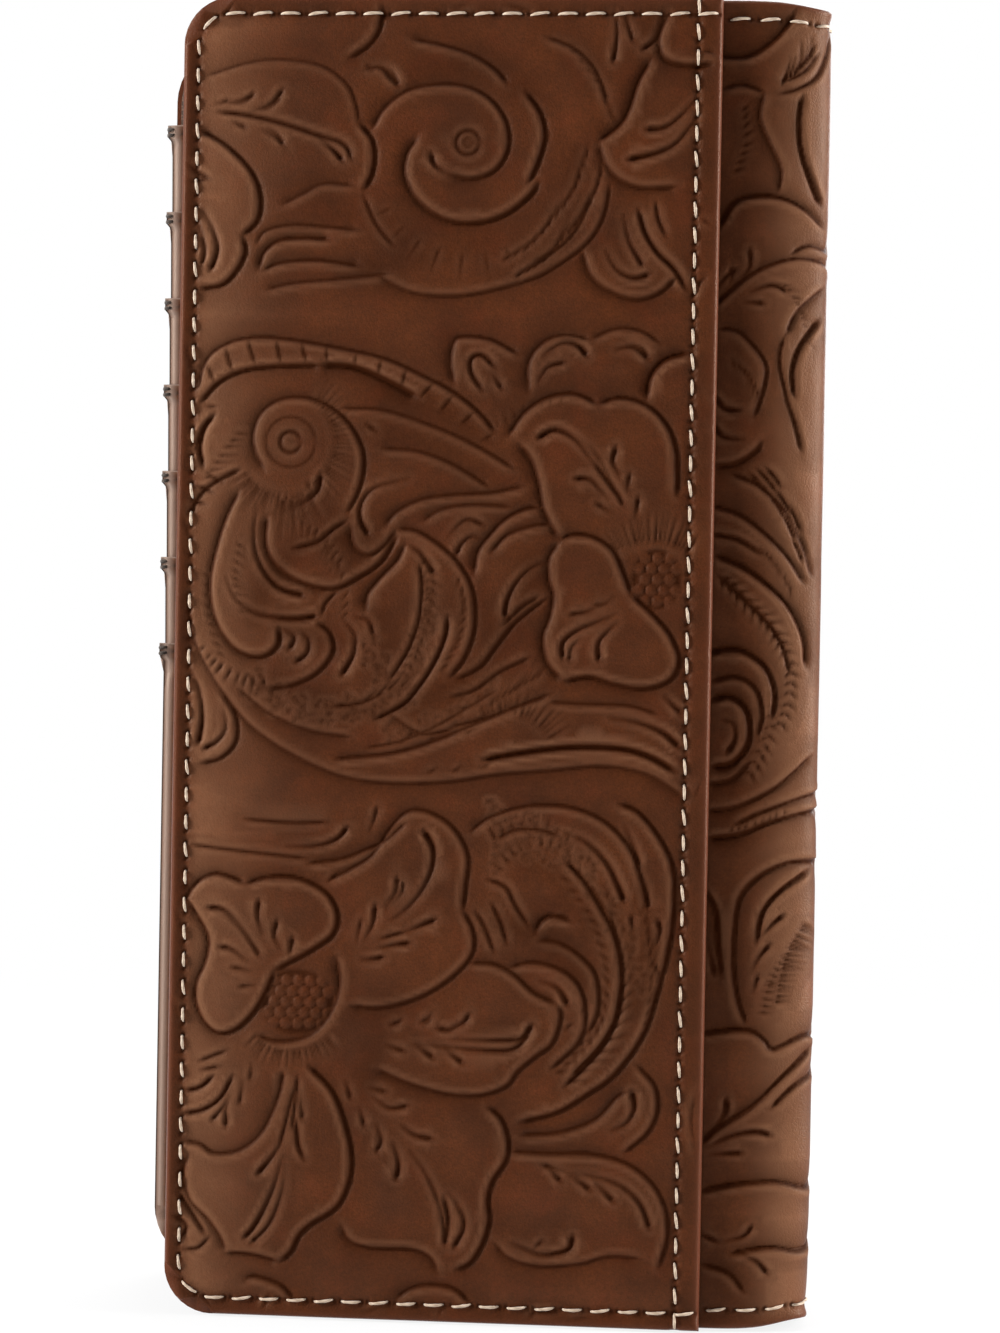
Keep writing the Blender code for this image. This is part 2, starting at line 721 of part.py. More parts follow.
def build_pull(pull):
    """The pull: a ring through the slider's bail and a tapered tab, cast in one."""
    brass = bpy.data.materials["antique brass"]
    low_y = PULL_PIVOT.y - PULL_THICK / 2
    y_range = (low_y, low_y + PULL_THICK)
    middle = (PULL_RING_INNER + PULL_RING_OUTER) / 2
    centre = (ZIP_X, PULL_PIVOT.z - middle)
    steps = 24
    ring = arc(centre, PULL_RING_OUTER, 0, 360, steps)[:-1]
    hole = arc(centre, PULL_RING_INNER, 0, 360, steps)[:-1]
    made = piece("zip_pull", panel("zip_pull", ring, y_range), brass, pull)
    top = centre[1] - PULL_RING_INNER - PULL_THICK / 4
    low = top - PULL_TAB_LENGTH
    tip = arc((ZIP_X, low + PULL_TAB_END / 2), PULL_TAB_END / 2, 180, 360, CORNER_STEPS)
    tab = tip + [(ZIP_X + PULL_TAB_TOP / 2, top), (ZIP_X - PULL_TAB_TOP / 2, top)]
    boolean(made, cutter("pull_tab", panel("pull_tab", tab, y_range), pull), "UNION")
    deep = (y_range[0] - PULL_THICK, y_range[1] + PULL_THICK)
    boolean(made, cutter("pull_hole", panel("pull_hole", hole, deep), pull), "DIFFERENCE")


def build_spine_lining(spine):
    """Lining cloth on the inside of the spine, between the two folds."""
    outer_x = BODY_WIDTH - COVER_LEATHER - SEAT
    loop = outline(outer_x - LINING, outer_x, INNER_LOW, INNER_HIGH)
    made = panel("spine_lining", loop, (BACK_FOLD_Y, FRONT_FOLD_Y))
    piece("spine_lining", made, lining, spine)


def build_front_inside(front):
    """Board and lining of the front cover, and its ladder of card slots."""
    leather = bpy.data.materials["inner leather"]
    loop = outline(
        FRONT_EDGE + BOARD_INSET,
        BODY_WIDTH - BOARD_TO_SPINE,
        BOARD_INSET,
        LENGTH - BOARD_INSET,
        FRONT_CORNER - BOARD_INSET,
    )
    piece("front_cover_board", panel("front_cover_board", loop, FRONT_BOARD_Y), board, front)
    loop = outline(
        FRONT_EDGE + LINING_INSET,
        BODY_WIDTH - LINING_TO_SPINE,
        INNER_LOW,
        INNER_HIGH,
        FRONT_CORNER - LINING_INSET,
    )
    piece("front_cover_lining", panel("front_cover_lining", loop, FRONT_LINING_Y), lining, front)
    right = BODY_WIDTH - SLOT_TO_SPINE
    for n in range(SLOT_COUNT):
        mouth = LOWEST_MOUTH + SLOT_PITCH * (SLOT_COUNT - n)
        slot = card_slot(f"card_slot_{n + 1}", mouth, mouth - SLOT_PITCH - SLOT_OVERLAP, right)
        piece(slot.name, slot, leather, front)
    corner = FRONT_CORNER - LINING_INSET
    low = INNER_LOW
    loop = arc((FRONT_EDGE + corner, low + corner), corner, 180, 270, CORNER_STEPS) + [
        (right, low),
        (right, LOWEST_MOUTH),
        (FRONT_EDGE - SLOT_HEM_REACH, LOWEST_MOUTH),
        (FRONT_EDGE - SLOT_HEM_REACH, LOWEST_MOUTH - SLOT_HEM),
        (FRONT_EDGE, LOWEST_MOUTH - SLOT_HEM),
    ]
    lower = panel("lower_card_panel", loop, (SLOT_Y[0], SLOT_Y[0] + SLOT_LEATHER))
    piece("lower_card_panel", lower, leather, front)


def card_slot(name, mouth, low, right):
    """One card slot's strip. It leans back so that its foot tucks behind the next one."""
    loop = [
        (FRONT_EDGE, low),
        (right, low),
        (right, mouth),
        (FRONT_EDGE - SLOT_HEM_REACH, mouth),
        (FRONT_EDGE - SLOT_HEM_REACH, mouth - SLOT_HEM),
        (FRONT_EDGE, mouth - SLOT_HEM),
    ]
    strip = panel(name, loop, (SLOT_Y[0], SLOT_Y[0] + SLOT_LEATHER))
    for vertex in strip.vertices:
        vertex.co.y += SLOT_TILT * (mouth - vertex.co.z)
    return strip


clear_scene()
board = material("board", (0.22, 0.18, 0.13), 0.9)
lining = material("lining cloth", (0.07, 0.045, 0.032), 0.85)

PULL_Y = TEETH_Y[1] + SEAT + SLIDER_PLATE + SEAT + PULL_THICK / 2
PULL_PIVOT = Vector((ZIP_X, PULL_Y, SLIDER_REST + SLIDER_LENGTH / 2 - BAIL_FOOT - BAIL_EYE))

wallet = pivot("wallet", Vector((0, 0, 0)))
wallet.location = WALLET_PLACE
spine_fold = pivot("spine_fold", SPINE_FOLD_LINE, wallet)
front_fold = pivot("front_fold", FRONT_FOLD_LINE, spine_fold)
zip_slide = pivot("zip_slide", Vector((ZIP_X, ZIP_Y, SLIDER_REST)), wallet)
pull_swing = pivot("pull_swing", PULL_PIVOT, zip_slide)

build_cover(wallet, spine_fold, front_fold)
build_back(wallet)
build_accordion(wallet)
build_coin_pocket(wallet)
build_slip_pockets(wallet)
build_zip(wallet)
build_slider(zip_slide)
build_pull(pull_swing)
build_spine_lining(spine_fold)
build_front_inside(front_fold)

print("spine fold line", SPINE_FOLD_LINE + WALLET_PLACE)
print("front fold line", FRONT_FOLD_LINE + WALLET_PLACE)
print("pull pivot", PULL_PIVOT + WALLET_PLACE, "slider travel", SLIDER_TRAVEL)
print("wallet place", WALLET_PLACE, "depth", DEPTH)
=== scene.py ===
# A long western wallet of tooled brown leather, standing on its short end.
# It has a slip pocket on its back cover, a zipped coin pocket and card slots inside.
import math

import bpy
import numpy as np
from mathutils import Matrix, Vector, kdtree, noise


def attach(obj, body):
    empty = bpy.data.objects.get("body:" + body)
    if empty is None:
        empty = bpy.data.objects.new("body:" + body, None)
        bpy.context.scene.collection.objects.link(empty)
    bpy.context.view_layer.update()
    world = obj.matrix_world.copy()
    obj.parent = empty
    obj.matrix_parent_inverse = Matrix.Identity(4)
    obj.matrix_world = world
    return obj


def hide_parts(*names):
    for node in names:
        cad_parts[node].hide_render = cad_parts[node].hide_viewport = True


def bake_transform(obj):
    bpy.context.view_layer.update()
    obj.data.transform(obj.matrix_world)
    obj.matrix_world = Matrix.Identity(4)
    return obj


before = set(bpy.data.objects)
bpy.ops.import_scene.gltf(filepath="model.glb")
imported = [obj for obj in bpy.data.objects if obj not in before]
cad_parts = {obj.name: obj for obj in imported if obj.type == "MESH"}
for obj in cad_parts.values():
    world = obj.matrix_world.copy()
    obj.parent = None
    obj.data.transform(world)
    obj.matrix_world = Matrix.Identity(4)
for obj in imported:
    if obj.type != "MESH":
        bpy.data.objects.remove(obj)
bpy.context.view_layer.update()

# Camera, floor and studio light.
# The camera looks at the back cover from straight ahead, a little from the right, on a long lens.
MM = 0.001
CORNER = np.array([-43.15, -13.5625, 0.0])
CAMERA_PLACE, CAMERA_TURNS, LENS = (0.026855, -0.358548, 0.098336), (89.35, -1.04, 3.792), 65.37
FLOOR_DROP, SHADOW_NEAR, SHADOW_FAR = 0.0002, 0.09, 0.36
WHITE = (1, 1, 1, 1)

camera = bpy.data.objects.new("camera", bpy.data.cameras.new("camera"))
bpy.context.collection.objects.link(camera)
camera.location = CAMERA_PLACE
camera.rotation_euler = [math.radians(turn) for turn in CAMERA_TURNS]
camera.data.lens = LENS
camera.data.clip_start = 0.01
bpy.context.scene.camera = camera
bpy.context.scene.view_settings.view_transform = "Standard"


def feed(tree, socket, value):
    """Sets a socket's value, or links it to another socket or to a node's first one."""
    if isinstance(value, bpy.types.Node):
        value = value.outputs[0]
    if isinstance(value, bpy.types.NodeSocket):
        tree.links.new(value, socket)
    else:
        socket.default_value = value


def wire(tree, made, *first, **values):
    """Gives a node its settings, named in small letters, and feeds its sockets."""
    for name in filter(str.islower, values):
        setattr(made, name, values[name])
    for place, value in enumerate(first):
        feed(tree, made.inputs[place], value)
    for name, value in values.items():
        if not name.islower():
            feed(tree, made.inputs[name.replace("_", " ")], value)
    return made


def node(tree, kind, *first, **values):
    return wire(tree, tree.nodes.new("ShaderNode" + kind), *first, **values)


def maths(tree, what, one, two=0.0, three=0.0):
    return node(tree, "Math", one, two, three, operation=what)


def ranged(tree, value, low, high, start=0.0, end=1.0, kind="LINEAR"):
    """Turns low to high into start to end."""
    return node(tree, "MapRange", value, low, high, start, end, interpolation_type=kind)


def new_material(name):
    made = bpy.data.materials.new(name)
    made.use_nodes = True
    return made, made.node_tree, made.node_tree.nodes["Principled BSDF"]


# The floor keeps the wallet's shadow, and fades to white further off for the camera and metal.
floor_white, tree, _ = new_material("floor_white")
tree.nodes.clear()
rays = node(tree, "LightPath").outputs
seen = maths(tree, "MAXIMUM", rays["Is Camera Ray"], rays["Is Glossy Ray"])
seen = maths(tree, "MAXIMUM", seen, rays["Is Transmission Ray"])
away = node(tree, "VectorMath", node(tree, "TexCoord").outputs["Object"], operation="LENGTH")
glow = ranged(tree, away.outputs["Value"], SHADOW_NEAR, SHADOW_FAR, 0.84, kind="SMOOTHSTEP")
plain = node(tree, "BsdfDiffuse", Color=(0.84, 0.84, 0.84, 1))
white = node(tree, "Emission", Color=WHITE, Strength=1.0)
node(tree, "OutputMaterial", node(tree, "MixShader", maths(tree, "MULTIPLY", seen, glow), plain, white))

bpy.ops.object.select_all(action="DESELECT")
bpy.ops.mesh.primitive_plane_add(size=6, location=(0, 0, -FLOOR_DROP))
floor = bpy.context.object
floor.name = "floor"
floor.data.materials.append(floor_white)

world = bpy.data.worlds.new("studio")
bpy.context.scene.world = world
world.use_nodes = True
sky = world.node_tree
sky.nodes.clear()
rays = node(sky, "LightPath").outputs
shown = maths(sky, "MAXIMUM", rays["Is Camera Ray"], rays["Is Transmission Ray"])
shown = maths(sky, "MAXIMUM", shown, maths(sky, "MULTIPLY", rays["Is Glossy Ray"], 0.35))
room = node(sky, "Background", Color=(0.95, 0.96, 1, 1), Strength=0.2)
white = node(sky, "Background", Color=WHITE, Strength=1.0)
node(sky, "OutputWorld", node(sky, "MixShader", shown, room, white))

# Four soft rectangular lights: name, place, the point it looks at, size and power.
for name, place, aim, size, power in (
    ("softbox_left", (-0.6, -0.22, 0.32), (0, 0, 0.1), (0.14, 0.5), 6.8),
    ("softbox_right", (0.6, 0.0, 0.2), (0.04, 0, 0.1), (0.14, 0.6), 7.5),
    ("overhead", (0.0, -0.12, 0.85), (0, 0, 0.08), (0.6, 0.4), 1.3),
    ("behind", (0.15, 0.62, 0.4), (0, 0, 0.1), (0.7, 0.5), 5.5),
):
    light = bpy.data.lights.new(name, "AREA")
    light.shape = "RECTANGLE"
    light.size, light.size_y = size
    light.energy = power
    lamp = bpy.data.objects.new(name, light)
    bpy.context.collection.objects.link(lamp)
    lamp.location = place
    lamp.rotation_euler = (Vector(aim) - Vector(place)).to_track_quat("-Z", "Y").to_euler()


# The tooling: a floral pattern pressed into the leather, drawn as lines in millimetres.
# A number says how deep a line is. l and r are bevelled on one side, n is plain, t tapers away
# and s only darkens the colour along a broad stroke.
TOOLING = """
# petals at the top left
5l 28.6,189.5 28.5,187 28,184.8 26.4,182.7 23.9,181.1
3l 3.5,178.6 9.3,180.4 14.3,180.9 20,180 23.6,177.5 25,174.6 25.6,171.8
6l 25.6,171.8 27.4,169.6 27.8,166.8 27.4,164.4 26.4,162.3
5n 5.2,173.4 9.3,172.9 14.3,171.8 19.3,170.2 23.4,168.8 24.7,166.5
8t 23.4,166.4 22,168 19.6,169.9
5t 14.4,175.5 12.5,173.9 10,173.3
5t 10.2,175.8 8,174.8 4.8,174.7
6t 14.8,168.7 13.9,169.6 11.6,170.9
5t 9.4,171 7.4,171.9
6l 2.4,170.9 6.4,168.6 10,165 11.4,161.4 11.1,157.9 8.9,155.7
6l 8.9,155.7 9.4,153.4 8.2,150.7 6.1,148.6 2.6,148
8t 4.4,150.6 5.4,153.6 4.7,156.5 3,159.6
6t 3.1,151.3 3.5,153.8 2.2,158.6
5n 0.3,166.6 1.8,165 4.3,163.6
4n 0.8,163.3 4.2,163.8
4l 14.6,160.1 17.9,161.8 20.7,163.2 25.2,162.9
4l 11,154.4 12.4,156.4 16.4,157.3 21.4,157 26,156.5
6l 11.4,150.6 12.1,153.2 14.3,155 17.9,155.4 22,155.2
5l 11.9,150.6 14.6,151.8 20,152.2 26.4,151.4
4l 12.5,147.9 16.4,148.9 23.6,149.6 30.7,150.4
# scroll at the top
5l 33,183.9 37.1,183.1 41.4,181.8 45,179.6 46.9,177.4
6l 49.3,176.4 51.4,173.6 52.2,170.2 51.3,166.4 50,163.4
5l 27.4,170.9 29.2,174 32.4,176.5 36.4,177.4 40.7,177.2 44.3,175.4 46.6,172.2 47,168.4 45.2,165.2
  41.8,163.9 38.6,164.6
8t 36,167.6 36.6,165.9 38.8,164.6
6r 34.2,170 32.6,167.6 32.3,164.3 34.3,160.7 37.9,158.2 42.1,157.6 46.4,158.7 50,161.4 51.6,163.6
4l 26.2,179.4 28.6,179.7 30.6,177.2
6t 31.1,177.1 29.6,179 26.8,180.2
4r 60.9,174.6 60.2,177.4 58.6,180.4 55.8,182.8 52.2,184.2
4l 61.6,163.4 60.7,158.6 58.6,155 55,152.1 51.4,150 45.7,148.2 40,147.2 33.6,147.6 28.6,150
3n 26.4,161.5 28.4,157.3 31,154.2
4l 58.8,161.6 57.4,157.6 54.6,154.3 51,152.2
ring 41.3,169.1 1.7 3
ring 41.3,169.1 0.7 1
fan 42,166.5 13.4 16.6 210 292 7 2
# leaves at the top right
6t 61.8,180.6 62.3,184.4 62,188.6
5t 64.6,183.5 63.8,186 62.8,189
6t 65.9,182.4 67.9,184.3 68.8,188.4
6r 69.4,187.6 68.3,184.6 68.3,182.6 69.4,180.8 72.6,180.1 76.6,180.6
7r 67.2,181.2 65.4,177.9 64.3,174.3 62.9,171.8 59.9,169.4
5r 59.9,169.3 60.9,166.2 62.9,163.9 66.4,162.7 71.4,163
7t 66.6,171.1 69.3,171.4 71.6,173.1 73.6,175.4
8t 64.2,166.8 68.6,167.9 71.4,169.6 74,173.4
5r 57.8,153.8 59.3,150 62.1,147.9 65.7,146.9 68.9,147.9 71.4,150.3
7t 67.6,150.6 65.4,150 62.9,151.1 61.2,153.8
6t 66.6,151.6 64.5,155.3 63.7,159
6n 65.7,159.8 66.8,156.4 68.6,153.6 71,151.3 72.8,148.4
4n 68.2,160.9 68.6,158.4 69.8,155.8
3n 74.6,158.6 76.8,157.2
4r 76.4,150.8 74.6,149.4 73.4,147
# banded arc and bud
5l 2.6,133.6 4.3,138.2 7.9,140.5 12.1,141.1 17.1,140.7 23.6,139.6 30,138.2 35.7,135.7 40,133.4
  43.6,130.6 46,127.8
6r 3.2,131.6 5.7,134.4 9.3,136.2 14.3,136.9 20.7,137.1
8r 20.6,137.2 25.4,136.9 30.2,135 34.8,132.6
ladder 13 2.6 4,137.4 7.9,140.3 12.1,141 17.1,140.6 23.6,139.5 30,138.1 35.7,135.6 40,133.3
  43.6,130.5 46,127.8 / 5.4,134.2 9.3,136.4 14.3,137 20.7,137.2 25.4,136.7 30.2,134.8 34.8,132.4
  38.4,130.2 41.4,128.4 44,126.6
fan 16.5,126.1 6.2 10 -66 58 26 3
fan 16,124 6 11.6 -100 -58 16 3
fan 15,124 5 9 -150 -104 12 3
fan 27,116 8.6 12.2 50 118 0 3
5l 39.9,134.6 39.3,137.9 39.8,140.7 41,141.5 45,141.1 49.2,139
5n 45.9,137 43.9,138.8 42.3,138.3 42.4,136.2 44.1,133.7
6t 46.8,134 45.6,136
5l 50.6,133.6 50.4,137.1 51.4,139.6 53.6,141.4 56.4,141.8 59.4,141.1
8t 58.9,138.8 57.5,140.4 55.2,140.7 52.6,139
6t 55.8,138 53.3,137.2 51.8,134.9
7t 67.6,138.6 65.4,140.1 62.8,140
4l 59.4,141.3 62.9,142.8 66.4,142.5 69.4,140.7
8r 73.4,139.5 70,138.5 67.9,136 67.4,132.8
5n 2.5,124.4 3.6,127.8 5.2,130
4n 4.1,131.1 5.9,131
# flower at the right
6l 47.8,127.4 50,130.7 53.2,132.9 57.1,133.5 60.6,132.1
6l 60.6,132.1 63.6,133 67.1,132.2 70,129.7 71.7,125.7 72,119.2
6r 49.3,126.2 51.1,123.9 52.2,120.7 52.9,117.1 54.3,114.3 55.4,112.8
8t 52,127.1 54.5,128.3 57.4,127 60,123.9
5n 60,123.9 62.1,121.1 64.4,118.2
7t 57.4,121.4 59.6,121.3 61.6,119.4
8t 63.2,126 62.8,123.9 63.9,121.9
6t 65.2,122.3 64.9,119.6
7t 66.5,118.9 66.2,115.9
5t 60.5,118 62.8,116.6
6l 55.4,112.5 57.1,113.4 60,113.2 62.9,111.4 64.6,107.9 65.7,105
6l 65.7,105 68.6,102.5 71.4,99.3 72.7,95.7 71.4,92.9 67.9,91.6 63.6,92.1 60,93.1 56.2,92.4
6r 55.4,112.5 53.9,110 53.9,107.1 54.6,104.6 54.1,101.4 53.2,98.6 53.9,95 56.2,92.4
8t 56.2,95.6 56.1,97.9 57.9,99.6 60.7,100.9 63.6,102.1
6t 57.1,95.3 57.3,97.3 58.8,99
8t 61.3,95.5 61.3,98.2 63.8,101
5t 57,102 59.6,102.5 62.2,103.7
seeds 69.4,107.2 3.5 4.3
fan 68.6,104 8.4 12.4 56 124 16 4
# scroll at the left
5l 12.9,121.9 11.5,124.2 11,127 12,130 14.4,132 17.6,132.6 21,131.8 24.3,129.5 26.4,126.4 27.1,123.2
  26.4,119.3 24.9,116.2
ring 16.5,126.1 1.5 3
ring 16.5,126.1 3.6 1
8t 20.9,121.6 20.6,119.3 18.7,117.4 16.4,116.4 13.4,115.6
fan 16.5,126.1 7.4 10.2 215 292 13 3
8t 18.9,104 15.4,105 13.2,107.1 11.7,110.2 11.4,113.6 11.9,116.8
6r 13.3,115.6 13.1,111.6 14.4,108.6 17.9,106.1 22.9,105.1 27.1,107.1 30,109.3 32.1,112.9
5n 25,115 22.9,113.7 20.7,111.8 17.1,110.8
5r 25.2,114.4 26,111.2 27.9,110 30,111.2 32,113.9
7t 28,112.8 26.7,115.4 27.1,117.9 29,119.8 33.6,121.1
6r 9.3,119.3 7.5,115.7 6.1,111.4 5.1,106.4 5.4,102.1 6.8,98.6 9.3,95.9 12.6,95.1 15,96.8 15.2,99.6
8t 20.8,101.2 17.1,100.7 12.1,101.4 8.9,103.6 7.5,106.6
7t 16.8,96.3 17.6,98.1 15.8,99.4
7t 17.8,94.5 19.4,95.8 19.6,97.9 17.8,99
5l 20.6,100.2 22.6,98.8 23,95.9 20.7,92.9 17.1,91.1 13.6,90.6
4r 21.3,100.9 21.8,102.9 23.8,105
8t 24.5,92.8 26.1,95.7 26.3,98.6 24.8,100.5
6t 29,98.5 28.2,100.7 26.2,101.2
6l 27.9,102 27.9,104.3 30,107.1 32.1,109.3 33.3,111.9
8t 37.6,107.4 35.4,110.6 33.1,111.9
5l 32.1,113.9 35,113.6 38.6,111.4 41.4,108.6 43.1,105 43.4,100 42.1,95.7 40,92.7
5n 35.4,109.3 35.8,105.7 35.4,100.7 33.9,96.4 31.3,92
6n 39.6,101.5 39.3,98.6 37.9,95 35.7,91.4 33.4,88.7 29.2,86.4
fan 30,104 6.2 8.4 -52 28 16 4
5r 1.8,115.6 3.6,118.6 6.4,120.7 9.5,122.2
7n 3.9,122.2 3.3,125 3.9,127.9 5.5,130.1
4n 1.9,117.6 4.6,116.9
4n 2.6,119.8 5.6,118.6
4n 4.2,121.6 6.8,120
8t 3.8,82.4 4.3,86.4 3.6,90.7 1.3,94.6
7t 4.5,81.7 6.6,82.9 7.8,84.8 7.5,87.4
5l 6.9,90.2 9.2,86.6 9.2,82.9 7.1,80.5 4,79.6
fan 13.6,103.6 11.4 13.4 218 268 9 5
4r 1.7,104.5 2.5,98.6 4.3,94.3 7.1,90 10.7,85.7 15,82.5 20.7,79.6 25.7,77.9 32.1,77.3 40,77.7
  47.1,78.9 54.3,79.6 62.1,80.4 68.6,79.3 73.8,76.2
4r 9.4,90.6 14,87 20,84.6 26,83.8
3l 28,82.4 33,83.4 38,85.6 43,88.6 47,91.2
# leaves between the scroll and the flower
5l 30.3,114.2 32.1,116.4 35.7,118.2 40,118.9 45.7,119.3 50.4,120.3
4l 35.7,115 38.6,116.8 42.9,117.5 48.6,117.3
6l 43.2,107.4 43.7,110.7 45.4,113.2 47.7,115.6 50.7,117.1 52.6,117.2
5l 45.7,110.7 47.9,113.2 51.4,114.6 54.4,115
7t 40.6,110.2 41.4,111.9 42.9,113 44.4,112.5
5t 44.6,114.6 42,115.3 39.4,112.9
8t 47.8,101.3 48,103.6 49.3,106.4 51.4,108.6 54,109.7
5r 47.4,100.2 50,102.9 52.9,104.7
5r 41,92.4 44.3,94.3 46.4,97.1 48.6,100 51.4,102.5 53.9,104.4
4r 40.2,89.9 43.6,91 47.1,93.6 51.6,95.9
4l 23.8,131.1 30,130.8 37.1,128.6 42.9,126.1 48.8,122.7
4l 29.8,125.4 35,125 40,123.2 45.4,120
3l 36.8,135.5 40,133.6 42.9,131.4 45.7,128.2
4n 27.4,128.8 29.2,127.6
4n 31,90.6 27.4,88.8 22.8,88.2
# long flowing lines across the middle
8n 45,81 50,82 57.1,83 64.3,83 68.6,82 72.6,79.9
5l 23.6,80.7 31.4,81.6 37.1,83.2 42.9,85.7 48.6,88.2 54.3,90.4
4l 54.3,89.5 59.3,89.3 65.6,89.2 70,88
8t 73,83.4 70.7,85.4 67.1,86.8 63.1,87.4
4r 31.2,87.4 36,84.6 40.8,85.4
fan 48,80 7.6 11.4 34 112 15 3
4l 40,85.6 45.7,87.1 50,88.9 55,90.8
3n 75.4,76.6 76.6,79.4
7t 73.2,88.2 70.8,90.6
# plain band under the scroll
3n 2.9,67.9 8.6,67.3 14.3,66.8 20,66.3
7t 25.7,71 24.3,69.3 21.4,68.2 17,68
3n 10.7,71.8 17.1,71.4 22.9,71.6
5l 20,65.6 25,66.4 28.6,67.9 31.4,69.3 34.3,72
5t 29.9,74 29.6,72.4 28.8,70.2
3n 22.8,62.9 24.7,64.7
# big flower at the bottom left
6l 2.4,59.8 3,61.4 4.6,63 6.8,63.8 9.3,63.2 11.1,62.4
6l 11.1,62.4 13.6,63.3 17.1,63.6 20,63 22.9,61.3 24.4,58.5 23.9,55.6 21.4,53.5 17.9,51.4 15.4,50
6l 15.4,50 14.3,47.1 12.5,43.9 10,41.4 7.5,40.7 5.4,42.1 4,45 4,47.9 5.3,51.1 5.7,54.3 4.3,57.1 2.4,59.8
7t 5.6,58.9 7.9,58.6 10,56.9 12,54.8
7t 13,60.2 12.9,57.9 13.6,55.5
7t 15.7,57.3 15.4,55 16.2,53.4
8t 18,54.9 17.7,52
6t 7.4,53.3 9.3,52.9 11.6,51.3
5t 9.2,50.4 12.2,49.9
5t 10.4,47.6 12.8,47.9
seeds 18.9,45.6 5.3 4.7
5r 24.3,52.4 24.9,48.4 23.7,44.2 20.9,41 16.6,39.8 12.9,40.6
fan 18.2,46.4 7.6 10.2 228 312 19 4
5l 22.9,63.1 26,64.8 29.3,67 31.4,70.4 33.6,72.9 35.7,73.7 38.6,72.9 41.4,70.7 43.1,67.1 42.8,62.9
  42.5,59.3
5l 42.5,59.3 43.9,56.8 44.1,53.6 42.1,50.7 38.6,47.9 35,46.1 30.7,45 26.5,45.2
8t 36.7,70.7 38.1,68.2 37.9,65 36.4,61.8 34.3,59.3 32.3,57.8
6t 33.1,64 32.9,61.8 31.2,60.2
6t 33.9,63.5 33.7,61.6 32.2,60
7t 29.9,59.8 29.6,57.1 28.4,54.8
5t 27.9,57.7 27.4,54.4
8t 38.7,58 36.8,57.2 34.6,56.2
4n 34.6,56.2 30.7,55
7t 35.1,54.5 32.5,54.2 30.4,53.5
7t 31.4,52.4 29.6,52.1 28,52
5l 43.6,51.9 47.1,51.8 50,50.4 52.9,47.9 56.4,46.3
5l 56.4,46.3 56.8,44.3 55.7,40.7 53.2,38.6 50.7,36.4 49.3,34.4 45.7,32.9 40.7,32.9 35,34.3 30.4,36.2
8t 52.8,43.3 51.1,41.2 47.1,40.8 41.2,40.8
7t 52.4,41.9 50,39.7 44.3,39.5 35.5,40.1
6t 34,43.3 32.3,42.4
6t 38.3,43.8 37.3,42.6
7t 43.7,44.6 42.8,43.2 41,42.8
7t 38.8,38 36,40.1
7t 43,37.4 40.2,39.7
6t 34.6,38.9 31.8,39.8
5t 58.5,43.6 57.5,42.6
5l 2.4,24.9 5,24.6 7.1,23.4 10.7,23.9 13.6,26.1 15.4,29.3 16.6,32.9 16.8,35.2
7t 16.9,35.4 16.7,32.8 16,30.6
6l 20.6,36.4 23.9,33.2 25.7,29.3 27,24.3 26.8,20 25,16.1 21.4,13.6 19.6,11.8 18.6,9.6 16.9,7.9
5l 16.9,7.9 12.6,8.9 8.8,9
5r 3.2,23.2 2.5,20 3.6,16.4 6.4,13.6 8.4,10.7 8.8,8.8
8t 11.7,11.3 12.9,12.6 14.6,15.7 16.1,19.3 17.2,23.4
6t 12.7,10.6 15.4,13.6 17,17.9 17.6,22.3
5n 19,28.9 19.3,25.2 20.3,22.8
8t 13.5,20.6 15.4,22.9 17.2,25.6
4n 16.6,24.6 17.6,28.6 18.6,33.2
4n 18.3,26.9 18.8,30.6 19.1,35
5t 19.9,28.6 19.4,33.2
6n 2.5,32.2 5,32.9 7,34.8
6n 2.5,28.9 5.4,29.6 7.9,31.4 9.7,34.8
6t 6.7,28.1 8.6,30.7 9.4,33.8
6t 8.8,27.2 8.8,30 9.9,33.4
5t 10.7,30.6 11.2,34
5t 12.2,34.2 12.4,36.6
4n 5,35.4 8,36
4n 4.6,36.6 9,38.4
5n 0.4,14.6 1.8,13.9 3.2,12.5 2.1,10.4
5n 1.5,17.8 3.6,15 6.1,11.4
4n 2.8,9.3 5,9.6 6.8,11.4
6l 46.6,31.3 48.6,29.6 49.6,26.4 49.3,23.6 47.5,20.7 46.8,17.9 47.1,15 46.1,11.4 44.3,8.6 42.3,7.7
5r 25.7,13.6 26.8,11.4 30,10.4 35.7,10.4 38.6,9.3 39.8,7
6t 40.9,11.2 40.4,15 39.6,17.9 37.9,21.4 35.5,24.8
7t 42.1,11 43.4,13.6 43.2,15.8 41.2,18.9
6n 41,11.6 41.2,15.2 40.4,18.4
7t 38.8,26.4 36.1,27 34.2,28.4
8t 33.6,20.5 33.9,22.9 33.1,25.7
7t 30.7,24.4 31.3,26.1 30.6,28.4
6t 28.9,28 28.2,30.6
6t 35.2,31.1 32.5,30.7 30.2,32.3
6t 32,33 29.6,33.6
6t 26.9,31.8 26,34.6
# feathered scroll at the bottom right
6l 64.5,75.2 67.5,73.9 70.7,70 72.5,65.7 72.6,59.3 71.8,53.6 70.4,47.9 68.6,42.2 64.6,36.4 60.7,33.4
  56.4,30.7 51.2,29.2
5l 43.4,70.7 46.4,72.9 51.4,74.5 57.1,74.6 62.1,72.9 65.7,69.6 67.5,65.7 69,60.3
8t 65.6,61.2 64.6,63.6 62.9,66.8 60,69.6 56.2,71.2
4l 47,69.6 50,71.1 53.6,71.1 56.4,70.2
4n 45.9,64 48.6,62.9 50,60.4 52,57.4
5l 53.1,56.2 53.6,58.2 55.6,59.4
5l 53.4,55.4 56.4,55.1 59.6,53.2 61.8,50.4 62.2,45.7 60.8,42
